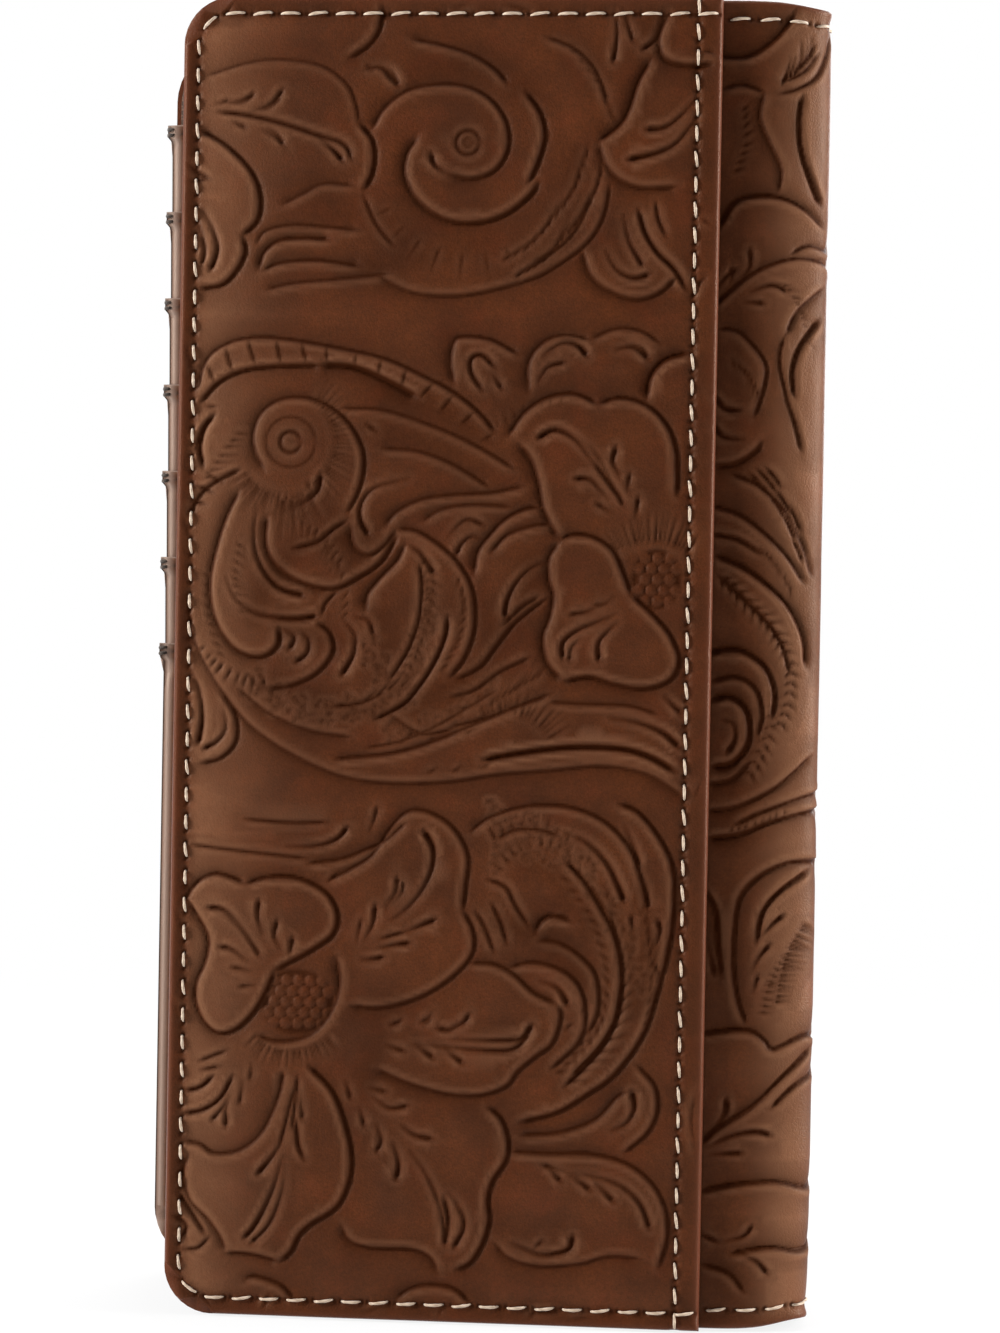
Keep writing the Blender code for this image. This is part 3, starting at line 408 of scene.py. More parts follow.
5l 49.2,51.4 52.9,52.2 57.1,51.1 59.6,48.6 60.4,44.3 59.3,40.7 55.6,37
8t 57.9,46.2 56.4,48.6 53.8,49.7
6l 63.5,59.4 64.6,55.7 65.4,51.4 65.1,47.1 64.3,43.6 62.1,40 58.4,36
4n 60.6,63.8 62,61.4 63.4,59.2
fan 54,62 6.6 9.4 60 150 9 3
fan 52,60 10.6 13.4 62 118 8 3
7t 67.6,66.2 66.8,68.8 65.5,72
7t 69,60.2 68.4,63.6 67.2,66
4n 44.3,59.4 45.7,57.1 47.2,53.4
4n 46.6,60.6 48,57.8 49,54.6
5l 51.4,27.4 57.1,28 62.1,30 65,33.2 66.6,34.2
8t 67.2,34.2 67.6,31.8 66.5,29.6 64.4,28.5
5l 67.8,38 70.4,35 70.8,31.4 69.4,28.2 66.2,25.3
5l 50,25 55.7,24.9 61.4,25 66.4,23.9 70,21.4 72.1,17.9 72.6,13.6 71.4,9
6t 70.1,14.6 68.6,18.2 65.7,20.7 62.1,21.8 58.6,22.1
5t 54.6,23.3 58.6,22.1
7t 57.4,20.9 55.4,23
7t 61.6,19.8 58.9,21.9
7t 64.9,18.3 62.3,21
8t 59.1,13.3 58.7,11.4 56.8,10.6 54.3,10.4 50.5,11.9
5t 54.8,12.4 53.4,11
4r 47.8,11.8 50,9.6 54.3,8.6 60,9.1 64.3,10.4 69,10.2
# motifs under the margins
5l 33.7,3 35.7,4.6 38.6,5.4 42.1,5 44.6,3
5l 11.8,5 13.1,5.8 17.1,4.6 19.2,2.4
4n 40,0.4 40.4,2
4n 52.8,0.6 54,2 57,2.2
4n 58.6,1 62,1.6
4n 15.4,3.2 14.6,0.8
4n 29,1 31.6,1.8
5t 3.2,189.2 7,187
4n 39,188.4 42,189.4
4n 46,189 50,188
4n 0.9,140.6 1.8,136
4n 0.8,116 1.8,112
4n 0.7,59 1.8,55.4
4n 0.6,46 1.5,43
# strip beside the mouth and the spine
7l 74.6,182.2 77.9,181.8 81.4,182.1 84.6,184.3 87.1,187.5 88,190
4l 85.2,176.5 87.9,177.3 90.7,179.3 92.4,182.9 94,186
4n 86,178.2 89,180 91.2,183.2
4n 87.2,179.8 89.4,182 90.6,184.4
5l 77.3,177.2 80,177.9 83.4,176.9
5r 83.4,176.9 82.8,174.6 82.9,172.4 84.3,169.3 85.9,165.8 85.6,162.6
7r 88.9,176.6 88.5,172.9 88.9,168.6 90.4,164.3 91.9,161
7l 77.2,157.6 79.3,161.1 82.1,162 85.7,161.9 89.3,160.4 92.4,158
5l 76.6,146.4 80.7,150 84.3,152.1 88.6,153.3 93,152.8 97,150.6
5l 87.4,153.8 90,155.2 93.6,154.9 97,156.6
7t 87.2,148.5 85,149.4 82,148.5
6t 84,146.8 81.2,147
6t 79.9,151.8 78.6,150.8 77,149
5t 81.9,154.6 82.1,152.2
5l 77.2,143.1 80,142.9 82.5,140.7 84.3,137.9 83.9,134.3 82.7,130.6
7r 92,144.9 89.3,140.9 88.2,137.1 88.6,133.4
5r 86.8,142.2 86.3,138.6 87.3,133.8 88.7,129.8 89.7,125.8
5l 92.6,149.4 88.6,145.7 87,142.3
7t 76.8,129.4 78.4,127.8 81.4,127.4
6n 76.4,134 78.6,131.8 80.8,131.6
6r 76.8,123.6 80,123.9 82.9,125.6 84,127.2
5l 79.6,122.6 83.6,120.8 87.6,117 90.2,112 91.6,108
6l 76.6,118 80.7,116.8 84.3,114.3 87.9,110.7 90.4,107
5n 76.6,113.9 80.7,113.2 84.5,111
8l 77.4,110.9 81.4,109.3 85,106.8 88.2,103.6 90.4,99.3 90.9,95
8l 76.6,96.7 79.3,97.4 82.1,97.1 85,95 86.4,91.4 86.2,87.6
6l 77.2,92.8 80.7,93.6 83.6,92.1 84.7,88.6 84.2,85
8l 77.2,90 80,90.7 82.5,88.6 82.8,84.3 80.7,81.3 77.4,80.6
7t 79.8,82.6 81,84.8 80.6,87 79,87.4
6r 76.8,78 80.6,78.9 83.4,81.6
5r 76.8,74.2 81.4,75 85.7,77.1 88.6,79.3 92,82.4
5r 81,72.4 85,74.3 91.1,76.5 97,77.6
7r 77,70.3 82.1,71.1 86.4,72.9 92,74.3 98,74.6
6l 96,67 91.1,67.3 87.9,66.8 84.6,65 82.1,62.1 81.4,57.9 81.3,52.1 82.1,47.1 83.4,44
7n 92,66 87.9,63.2 85.4,60 84.6,55.7
7t 88.3,59.7 86.4,58 84.8,55.9
7t 86.5,55.5 85,53.6 84.2,51.8
6t 84.9,51 84.3,48.6
6r 77,63 78.6,60 79,55.7 79.6,50.6
6t 78.6,51 77.4,56
6l 76.8,42.4 81.4,43.1 84.3,42.9 86.2,41.4 87.2,40.4 92,42.3 97,41.4
6r 93,40.4 88.6,36.4 84.3,32.1 79.3,28.9 77.2,26.6
5r 97,37.4 91.1,35.6 87,31.9
7t 87.2,28.1 85,28.6 81.4,27.9 77.2,26
8t 80.8,33.1 80.5,31 79,29
6t 83.1,25.5 78.6,25.3
4n 77,35.6 75.8,31 76.6,25
6l 77.2,19.8 80.7,20.7 85,21.3 88.6,21.3 93,20.2 97,20.8
6t 84.7,15.2 83.6,13.6 80.6,12.8
6l 81.6,11 87.1,11.9 92,11.1 97,12.6
7t 87.1,8.1 85.4,10 82.6,11.2
5l 77.4,9.4 81.4,8.2 83.8,5.4
4n 77.2,13.8 80,12.6

# matted ground and soft shading
beads 11,92 16,88.6 22,87.4 28,88.6 34,90 120 1.6 4
beads 28,97 31.5,92 34,90 60 1.3 4
beads 30,84 37,86 43,88.6 48,92 70 1.1 3
beads 35.6,107 37,101 35.6,95 34,91 50 0.8 4
beads 45,74 52,72 58,68 62,62 66,55 68,48 120 1.2 4
beads 46,66 50,68.6 55,67 40 1.2 3
4s 13,92 24,88 35,89 45,95
5s 12,101 14,107 20,112 28,113
4s 30,133 38,130.5 44,127.5
4s 46,97 50,103 51,109
4s 62,62 66,55 67,47
3s 26,151 34,152.6 44,155
3s 33,45 30,40 28,33

# hatching and feathered veins
fringe 48,149.6 52,152 56,156.4 59,160.6 60.6,165 3.4 14 15 5
fringe 46,152 50,154 54,158.4 57,163 58.6,168 3 16 13 4
fringe 52,184 56,182 59.4,177.6 61.6,173 2.6 16 9 3
6n 57.6,34.6 60.4,37.4 63,40.6 64.8,44.6 65.4,49 65,53.6 63.8,57.4 61.8,61 59.5,64.4 57,67
fringe 57.6,34.6 60.4,37.4 63,40.6 64.8,44.6 65.4,49 65,53.6 63.8,57.4 61.8,61 59.5,64.4 57,67 2.5
  -38 19 5
fringe 58.6,37 61,40 63,44 63.8,48.6 63.4,53 62.2,57 60,61 57,65 1.7 34 17 4
fringe 66.4,38 68.4,43 69.4,49 69.2,55 68,61 3 -16 14 3
fringe 56,36 58.6,39 60,43 59.6,46 1.8 -30 7 4
7t 70.4,58.8 70.8,57 70,54.6
6t 66.6,59.4 66.9,57.6 67.6,56.4
6t 70.2,52.6 70.6,51 70.2,49.4
6l 53,56.4 53.8,58 55.6,58.9 58.4,58.2
fringe 36.2,110 37,106 36.4,101 34.8,96 33.4,92.4 1.7 46 13 5
fringe 36.2,110 37,106 36.4,101 34.8,96 33.4,92.4 1.5 -46 13 5
fringe 41,108 42.4,103 41.6,98 39.4,93.6 2.2 -30 10 3
6n 78,108 81,105.4 85,101.6 87.4,98 88.6,94
fringe 78,108 81,105.4 85,101.6 87.4,98 88.6,94 88.4,90 87.2,86 1.7 48 17 6
fringe 78,108 81,105.4 85,101.6 87.4,98 88.6,94 88.4,90 87.2,86 1.6 -48 17 6
fringe 86,89 85.6,85.5 84.4,82 82.6,79 1.5 55 7 5
fringe 86,89 85.6,85.5 84.4,82 82.6,79 1.3 -50 6 4
fringe 91,58.5 88.8,55 87.6,51 87,46.5 3 96 16 6
fringe 88,54 86,50 85,45 1.8 96 10 5
fringe 85.6,177.8 88,179.6 90.4,182.4 3.4 38 10 6
fringe 83.6,112.6 86.4,110 89,106 2 -30 8 3
5n 82.2,122.8 83.8,121.2 85.4,119.2
5n 83.2,123.4 84.8,121.8 86.4,119.8
5n 84.4,123.6 85.8,122.2 87,120.4
5n 85,119.6 86.4,117.8 87.4,116
5n 86,120.4 87.4,118.6 88.4,116.8
6n 87,117 88,115.2 89,113
5n 88,118.4 89,116.4 89.9,114.2
5n 88.4,113.6 89.4,111.8 90.2,109.8
5n 89.4,114.2 90.2,112.4 90.9,110.4
5t 31,82.8 32.3,83.3 33.6,83.2
5t 34,84.2 35.2,84.8 36.4,84.8
5t 38.6,85.8 39.8,86.6 41,87.2
5t 41.6,88 43,88.6 44.4,88.6
4t 42.4,84.6 43.4,85.2 44.6,85.6
4t 43.8,86.6 45,87.2 46.2,87.9
4t 37,83.6 38.4,84 39.6,84.4
4t 37.2,79.1 38,79.4 38.6,79.8
4t 40.8,79.3 41.5,79.7 42,80.1
4t 45,80 45.8,80.4 46.4,80.8
5t 31,90.6 32.6,92.2 34,94.4
5t 29.4,89.6 31,91.4 32.6,93.8
4t 32.8,91 34.4,92.6 35.6,94.8
4t 27.6,88.8 29.4,90.6 30.8,92.6
fringe 45.6,88.6 49,90.6 53,93 3 28 9 3
7t 67.6,138.6 66.6,140 65,140.4 63,139.6
5t 64.5,117.6 62.8,120.6 60.8,124.4 58,127.4
4t 60.3,103.5 62,103.6 63.4,104.8
6t 32.9,64 32.8,61.8 31.2,59
5t 13.4,52 11,55.4 8.8,57.2 6.6,58.2
6t 39.2,42.4 41,42.2 43,43.4 44.2,44.8
6t 36.8,43.2 37.8,43.8 38.6,45
6t 32.4,42.8 33.4,43 34.2,43.8
7t 80.6,33.4 80.4,31 78.6,27.6
6t 14.6,176.6 12.6,174.4 9.4,173.2
6t 10.4,176.2 9.4,175 7.6,174.4
5t 6.8,175.2 5.8,174.7 4.8,174.5
6t 9.3,171 8.4,171.6 7.2,172.1
7t 14.8,168.6 13.8,170.2 12.4,171.2
5t 26.6,180 27.2,179.4 27.8,178.8
7t 31.2,177.2 30.2,179.2 28.2,180
6t 81.6,154.6 81.8,152.2 80.2,149.6
5t 79,152.2 79.2,150.6 78.6,149
3s 20,118 23,114 25,109
3s 28,128 36,126.6 44,122
4s 30,101 30.6,97 30,94
4s 44,104 46,100 46.6,96
4s 15,101 20,98.6 24,98
4s 48,58 54,56 59,51
4s 68,62 69,55 68,48
3s 52,66 57,63 61,58
3s 20,160 28,158 34,153
3s 34,180 44,180 50,175
3s 56,168 57,160 52,153
fringe 3,119 6,124 9,128 2.6 -50 8 3
fringe 9,112 8.4,106 9.6,101 1.8 60 9 3
fringe 4,108 4.6,101 6.6,95 2 40 9 3
fringe 17,116 22,113 25,109 2.6 -70 9 3
fringe 22,112 25,106.6 25.4,101 2 -40 8 3
fringe 46,128 51,131 56,132 1.6 70 8 2
fringe 79,165 80.4,170 80,175 1.8 -50 8 3
fringe 86,150 88.6,146 90,141 2 40 9 3
fringe 79,139 82,137 84,133 1.8 -40 8 3
fringe 80,71 84,72 89,74 1.6 60 8 3
"""
GRID, DEEPEST, STRONGEST, FAR_OFF = 0.15, 0.6, 8, 9.0
PATTERN_LEFT, PATTERN_RIGHT, LENGTH = -1.5, 98.5, 190.0
pattern_shape = (int(LENGTH / GRID) + 2, int((PATTERN_RIGHT - PATTERN_LEFT) / GRID) + 2)
cuts, ramps, lips, stains, rubbed, shades = (np.zeros(pattern_shape) for _ in range(6))
reach = np.full(pattern_shape, FAR_OFF)


def bell(off, width):
    """1 at no distance, fading to nothing past a width."""
    return np.exp(-((off / width) ** 2))


def share_of(value):
    return np.clip(value, 0, 1)


def raise_to(grid, area, values):
    grid[area] = np.maximum(grid[area], values)


def curve_through(points, step=0.8):
    """Evenly spaced points on a smooth curve through a line's points."""
    points = np.array(points, float)
    if len(points) == 2:
        count = max(2, int(np.linalg.norm(points[1] - points[0]) / step) + 1)
        share = np.linspace(0, 1, count)[:, None]
        return points[0] * (1 - share) + points[1] * share
    ends = np.vstack([2 * points[0] - points[1], points, 2 * points[-1] - points[-2]])
    found = []
    for a, b, c, d in zip(ends, ends[1:], ends[2:], ends[3:]):
        count = max(2, int(np.linalg.norm(c - b) / step) + 1)
        t = np.linspace(0, 1, count, endpoint=False)[:, None]
        bend = (c - a) * t + (2 * a - 5 * b + 4 * c - d) * t**2 + (3 * b - a - 3 * c + d) * t**3
        found.append(0.5 * (2 * b + bend))
    return np.vstack(found + [points[-1:]])


def around(centre, radius, start, end, steps=8):
    turns = np.radians(np.linspace(start, end, steps + 1))
    return [(centre[0] + radius * math.cos(t), centre[1] + radius * math.sin(t)) for t in turns]


def window(low, high, pad):
    """The part of the pattern's grid round a box, with each cell's place."""
    first = [int(max(0, (low[1] - pad) / GRID)), int(max(0, (low[0] - pad - PATTERN_LEFT) / GRID))]
    last = [int((high[1] + pad) / GRID) + 2, int((high[0] + pad - PATTERN_LEFT) / GRID) + 2]
    last = [min(last[0], pattern_shape[0]), min(last[1], pattern_shape[1])]
    across = PATTERN_LEFT + GRID * np.arange(first[1], last[1])
    up = GRID * np.arange(first[0], last[0])
    area = (slice(first[0], last[0]), slice(first[1], last[1]))
    return area, *np.meshgrid(across, up)


def tool_line(points, strength, kind):
    """One pressed line: a narrow cut, and for a bevelled one a ramp down to it from outside."""
    path = curve_through(points)
    pad = {"s": 6.0, "l": 2.9, "r": 2.9}.get(kind, 1.3)
    area, across, up = window(path.min(0), path.max(0), pad)
    near = np.full(across.shape, 99.0)
    side, along = np.zeros(across.shape), np.zeros(across.shape)
    run = 0.0
    for start, end in zip(path, path[1:]):
        step = end - start
        length = max(np.hypot(*step), 1e-6)
        share = share_of(((across - start[0]) * step[0] + (up - start[1]) * step[1]) / length**2)
        off_x = across - start[0] - share * step[0]
        off_z = up - start[1] - share * step[1]
        off = np.hypot(off_x, off_z)
        closer = off < near
        near[closer] = off[closer]
        side[closer] = (step[0] * off_z - step[1] * off_x)[closer] / length
        along[closer] = (run + share * length)[closer]
        run += length
    if kind == "s":
        raise_to(shades, area, 0.1 * strength * bell(near, 2.3))
        return
    if kind == "t":
        fade = np.clip(along / 0.5, 0.35, 1) * (1 - 0.82 * along / run)
    else:
        fade = share_of(np.minimum(along, run - along) / 1.6 + 0.3)
    wide = (0.17 + 0.028 * strength) * (0.55 + 0.45 * fade)
    depth = DEEPEST * strength / STRONGEST * fade
    raise_to(cuts, area, depth * bell(near, wide))
    raise_to(stains, area, (0.72 + 0.07 * strength) * fade * bell(near / wide, 1.08))
    raised = np.ones(across.shape)
    if kind in "lr":
        outside = share_of(side * (1 if kind == "l" else -1) / 0.25)
        raise_to(ramps, area, 0.95 * depth * np.exp(-near / 1.4) * outside)
        shade = outside * 0.56 * np.exp(-near / 1.35) + (1 - outside) * 0.2 * np.exp(-near / 0.6)
        raise_to(stains, area, fade * shade * strength / STRONGEST)
        raised -= outside
    lip = fade * strength / STRONGEST * raised
    raise_to(lips, area, 0.15 * lip * bell(near - 1.9 * wide - 0.15, 0.5))
    # The ridge beside a cut is paler: partly rubbed, partly a painted highlight.
    raise_to(rubbed, area, 0.85 * lip * bell(near - 1.6 * wide - 0.35, 0.4))
    reach[area] = np.minimum(reach[area], near)


def tool_ring(centre, radius, strength):
    tool_line(around(centre, radius, 0, 360, 18), strength, "n")


def tool_fan(centre, inner, outer, start, end, count, strength):
    """Short cuts that spread from a centre, as shading. No two are quite alike."""
    for n, turn in enumerate(np.radians(np.linspace(start, end, int(count)))):
        turn += 0.2 / outer * math.sin(n * 7.9)
        far = outer + 0.14 * (outer - inner) * math.sin(n * 12.9)
        spread = [(centre[0] + r * math.cos(turn), centre[1] + r * math.sin(turn)) for r in (inner, far)]
        tool_line(spread, strength * (1 + 0.25 * math.sin(n * 4.7)), "t")


def tool_fringe(points, length, lean, count, strength):
    """Short cuts off a path, leaning from its direction, as on a feathered vein."""
    path = curve_through(points, 0.25)
    for n in range(int(count)):
        here = int((n + 0.5) / count * (len(path) - 2))
        along = path[here + 1] - path[here]
        turn = math.atan2(along[1], along[0]) + math.radians(lean + 6 * math.sin(n * 7.7))
        reach_out = length * (1 + 0.25 * math.sin(n * 12.9))
        tip = path[here] + reach_out * np.array([math.cos(turn), math.sin(turn)])
        tool_line([path[here], (path[here] + tip) / 2, tip], strength, "t")


def tool_ladder(first, second, count, strength):
    """Rungs from one curve to another, each bevelled on one side, as on a banded stem."""
    first, second = curve_through(first), curve_through(second)
    for share in np.linspace(0, 1, int(count)):
        one, two = (curve[int(share * (len(curve) - 1))] for curve in (first, second))
        tool_line([one, one * 0.5 + two * 0.5, two], strength, "l")


def tool_beads(points, count, spread, strength):
    """Small pressed dots scattered along a path, as a matted background."""
    path = curve_through(points, 0.4)
    for n in range(int(count)):
        share = (n + 0.5 + 0.4 * math.sin(n * 5.3)) / count
        spot = path[int(share * (len(path) - 1))]
        spot = spot + spread * np.array([math.sin(n * 12.9 + 1), math.sin(n * 78.2 + 2)])
        area, across, up = window(spot, spot, 1.2)
        off = np.hypot(across - spot[0], up - spot[1])
        raise_to(cuts, area, 0.05 * strength * bell(off, 0.36))
        raise_to(stains, area, 0.12 * strength * bell(off, 0.42))
        # A paler ring round each dot: partly rubbed, partly a painted highlight.
        raise_to(rubbed, area, 0.09 * strength * bell(off - 0.75, 0.22))
        reach[area] = np.minimum(reach[area], off)


def tool_seeds(centre, half_width, half_height):
    """The flower's seeds: close rows of small domes in a hollow."""
    pitch, row_pitch, radius = 1.75, 1.75 * 0.87, 0.86
    area, across, up = window(centre, centre, max(half_width, half_height) + 1)
    level = np.zeros(across.shape)
    rows = int(half_height / row_pitch) + 1
    for row in range(-rows, rows + 1):
        for place in range(-8, 9):
            x = centre[0] + (place + 0.5 * (row % 2)) * pitch
            z = centre[1] + row * row_pitch
            if ((x - centre[0]) / half_width) ** 2 + ((z - centre[1]) / half_height) ** 2 < 0.92:
                off = np.hypot(across - x, up - z) / radius
                level = np.maximum(level, np.sqrt(share_of(1.0 - off**2)))
    off = np.hypot((across - centre[0]) / half_width, (up - centre[1]) / half_height)
    hollow = share_of((1.08 - off) / 0.14)
    raise_to(cuts, area, 0.3 * hollow * (1 - level))
    raise_to(stains, area, 0.8 * hollow * np.clip(1 - 1.7 * level, 0.12, 1))
    reach[area] = np.where(hollow > 0, 0.0, reach[area])


tools = {
    "ring": tool_ring, "fan": tool_fan, "fringe": tool_fringe,
    "ladder": tool_ladder, "beads": tool_beads, "seeds": tool_seeds,
}
# An indented line goes on with the one before it.
for line in TOOLING.replace("\n  ", " ").splitlines():
    tool, *words = line.split() or "#"
    if tool == "#":
        continue
    paths, numbers = [[]], []
    for word in words:
        if word == "/":
            paths.append([])
        elif "," in word:
            paths[-1].append(tuple(map(float, word.split(","))))
        else:
            numbers.append(float(word))
    places = [path if len(path) > 1 else path[0] for path in paths]
    if tool in tools:
        tools[tool](*places, *numbers)
    else:
        tool_line(*places, float(tool[0]), tool[1])


def read_pattern(values, across, up, outside=0.0):
    """A pattern grid's value at each point, smooth between its cells."""
    col = (across - PATTERN_LEFT) / GRID
    row = up / GRID
    known = (col >= 0) & (col < pattern_shape[1] - 1) & (row >= 0) & (row < pattern_shape[0] - 1)
    col = np.clip(col, 0, pattern_shape[1] - 1.001)
    row = np.clip(row, 0, pattern_shape[0] - 1.001)
    below, left = row.astype(int), col.astype(int)
    upward, rightward = row - below, col - left
    low = values[below, left] * (1 - rightward) + values[below, left + 1] * rightward
    high = values[below + 1, left] * (1 - rightward) + values[below + 1, left + 1] * rightward
    return np.where(known, low * (1 - upward) + high * upward, outside)


def tooled(across, up):
    """How far the pressed leather lies below its face, how dark its staining lies, the distance to a
    line and how pale its ridges are, partly from rubbing and partly as a painted highlight."""
    drop = read_pattern(cuts, across, up) + read_pattern(ramps, across, up) - read_pattern(lips, across, up)
    near = read_pattern(reach, across, up, FAR_OFF)
    ground = shades + 0.28 * bell(reach, 4.2) * (1 - shades)
    stain = read_pattern(np.maximum(stains, ground + stains * (1 - ground)), across, up)
    return drop, stain, near, read_pattern(rubbed, across, up)


# Tooled leather: vegetable-tanned cowhide, pressed, dyed brown, stained dark in the cuts
# and waxed. Its edges are rounded, dyed a redder brown and burnished.
def blended(tree, share, one, two):
    """A mix of two colours."""
    mix = node(tree, "Mix", share, data_type="RGBA")
    for place, colour in ((6, one), (7, two)):
        feed(tree, mix.inputs[place], colour)
    return mix.outputs[2]


def scaled(tree, value, by, plus):
    return maths(tree, "MULTIPLY_ADD", value, by, plus)


def stretched(tree, place, by):
    return node(tree, "VectorMath", place, by, operation="MULTIPLY")


def times(tree, vector, by):
    return node(tree, "VectorMath", vector, operation="SCALE", Scale=by)


def fractal(tree, place, scale, detail, roughness=0.5, **more):
    return node(tree, "TexNoise", Vector=place, Scale=scale, Detail=detail, Roughness=roughness, **more)


def bumped(tree, height, depth, strength):
    """A bump, its depth in millimetres."""
    return node(tree, "Bump", Height=height, Distance=depth * MM, Strength=strength)


def held(tree, name, kind="Fac"):
    """A value that the mesh holds at each point."""
    return node(tree, "Attribute", attribute_name=name).outputs[kind]


def shared_effect(name, gives, **takes):
    """An empty node group with named inputs and outputs."""
    group = bpy.data.node_groups.new(name, "ShaderNodeTree")
    for socket, kind in takes.items():
        group.interface.new_socket(socket, in_out="INPUT", socket_type="NodeSocket" + kind)
    for socket in gives:
        group.interface.new_socket(socket, in_out="OUTPUT", socket_type="NodeSocketFloat")
    return group, group.nodes.new("NodeGroupInput").outputs, group.nodes.new("NodeGroupOutput")


# Leather grain: fine pebbles broken by creases, and clouds of lighter and darker dye.
grain, taken, given = shared_effect("leather_grain", ("Height", "Cloud"), Place="Vector", Fineness="Float")
place = taken["Place"]
bent = fractal(grain, place, 0.8, 2.0).outputs["Color"]
spread = node(grain, "VectorMath", bent, (0.5, 0.5, 0.5), place, operation="MULTIPLY_ADD")
pebbles = node(grain, "TexVoronoi", feature="DISTANCE_TO_EDGE", Vector=spread, Scale=taken["Fineness"])
rise = ranged(grain, pebbles.outputs["Distance"], 0.0, 0.22, kind="SMOOTHSTEP")
pores = fractal(grain, place, 4.2, 3.0, 0.6)
creases = fractal(grain, place, 0.45, 4.0, 0.65)
cloud = ranged(grain, fractal(grain, place, 0.085, 5.0, 0.62), 0.34, 0.66)
wire(grain, given, Height=scaled(grain, rise, 0.45, scaled(grain, pores, 0.55, creases)), Cloud=cloud)


def leather_material(name, pale, deep, stain, edge, fineness=1.9, grain_depth=0.05, gloss=0.42):
    """Dyed leather. It reads from the mesh its place on the hide in millimetres, how dark its staining
    and painted shade lie, its edge colour, on the card slots partly a painted highlight, and how pale it is
    from rubbing and painted highlights."""
    made, tree, shader = new_material(name)
    place = held(tree, "hide", "Vector")
    stained, burnished, wear_and_highlight = (held(tree, value) for value in ("stain", "edge", "rubbed"))
    worked = node(tree, "Group", node_tree=grain, Place=place, Fineness=fineness)
    speck = fractal(tree, place, 1.1, 4.0, 0.7)
    red = fractal(tree, place, 0.13, 4.0, 0.6, Distortion=0.4)
    mottle = fractal(tree, place, 2.6, 3.0, 0.75)
    reddish = (pale[0] * 1.1, pale[1] * 0.86, pale[2] * 0.9, 1)
    # bare is the pale colour of rubbed leather, also used for painted highlights on ridges, the fore-edge
    # and the folds.
    bare = (pale[0] * 2.3, pale[1] * 3.9, pale[2] * 6.9, 1)
    dye = blended(tree, worked.outputs["Cloud"], deep, pale)
    dye = blended(tree, ranged(tree, speck, 0.42, 0.72, end=0.45), dye, deep)
    dye = blended(tree, ranged(tree, red, 0.5, 0.72, end=0.5), dye, reddish)
    dye = times(tree, dye, scaled(tree, mottle, 1.1, 0.45))
    dye = blended(tree, maths(tree, "MULTIPLY", wear_and_highlight, scaled(tree, speck, 0.7, 0.45)), dye, bare)
    ragged = maths(tree, "MULTIPLY", stained, scaled(tree, speck, 0.7, 0.62))
    dye = blended(tree, node(tree, "Clamp", ragged), dye, stain)
    dull = scaled(tree, stained, 0.16, scaled(tree, speck, 0.14, gloss - 0.07))
    wire(
        tree, shader,
        Base_Color=blended(tree, burnished, dye, edge),
        Roughness=scaled(tree, burnished, -0.12, dull),
        Normal=bumped(tree, worked.outputs["Height"], grain_depth, 0.8),
        Specular_IOR_Level=scaled(tree, node(tree, "Clamp", stained), -0.16, 0.21),
        Specular_Tint=(1.0, 0.77, 0.54, 1),
    )
    return made


tooled_leather = leather_material(
    "tooled_leather_brown",
    pale=(0.101, 0.0258, 0.0072, 1),
    deep=(0.054, 0.0138, 0.0043, 1),
    stain=(0.0300, 0.0066, 0.0013, 1),
    edge=(0.105, 0.030, 0.014, 1),
)


# The slip pocket: a tooled panel sewn to the back cover along three sides, with a hemmed
# mouth towards the spine. Like all the leather and cloth here it is cut flat in millimetres,
# worked and pricked for its stitches, and then laid in its place on the wallet.
THREAD_INSET = 2.2


def columns(*values):
    return np.stack(values, 1)


def set_values(made, hide, **values):
    """Keeps each point's place on the hide, and other values, for the material to read."""
    kept = made.data.attributes.new("hide", "FLOAT_VECTOR", "POINT")
    kept.data.foreach_set("vector", np.asarray(hide, np.float32).ravel())
    for name, value in values.items():
        kept = made.data.attributes.new(name, "FLOAT", "POINT")
        kept.data.foreach_set("value", np.asarray(value, np.float32))


def points_of(made):
    found = np.zeros(len(made.data.vertices) * 3, np.float32)
    made.data.vertices.foreach_get("co", found)
    return found.reshape(-1, 3).astype(float)


def put_points(made, points):
    made.data.vertices.foreach_set("co", np.asarray(points, np.float32).ravel())
    made.data.update()


def put_on_wallet(made, points):
    """Moves a piece's points to places in millimetres from the back cover's lower left corner."""
    put_points(made, (points + CORNER) * MM)


def only(made):
    """Selects one object alone, as the operators act on all that is selected."""
    bpy.ops.object.select_all(action="DESELECT")
    made.select_set(True)
    bpy.context.view_layer.objects.active = made


def edit_mode(made):
    only(made)
    bpy.ops.object.mode_set(mode="EDIT")
    bpy.ops.mesh.select_all(action="SELECT")


def object_mode():
    bpy.ops.object.mode_set(mode="OBJECT")


def smooth(made, degrees=50):
    only(made)
    bpy.ops.object.shade_smooth_by_angle(angle=math.radians(degrees))


def bisect(place, way, **more):
    """Cuts the mesh being edited along a plane."""
    bpy.ops.mesh.select_all(action="SELECT")
    bpy.ops.mesh.bisect(plane_co=place, plane_no=way, **more)


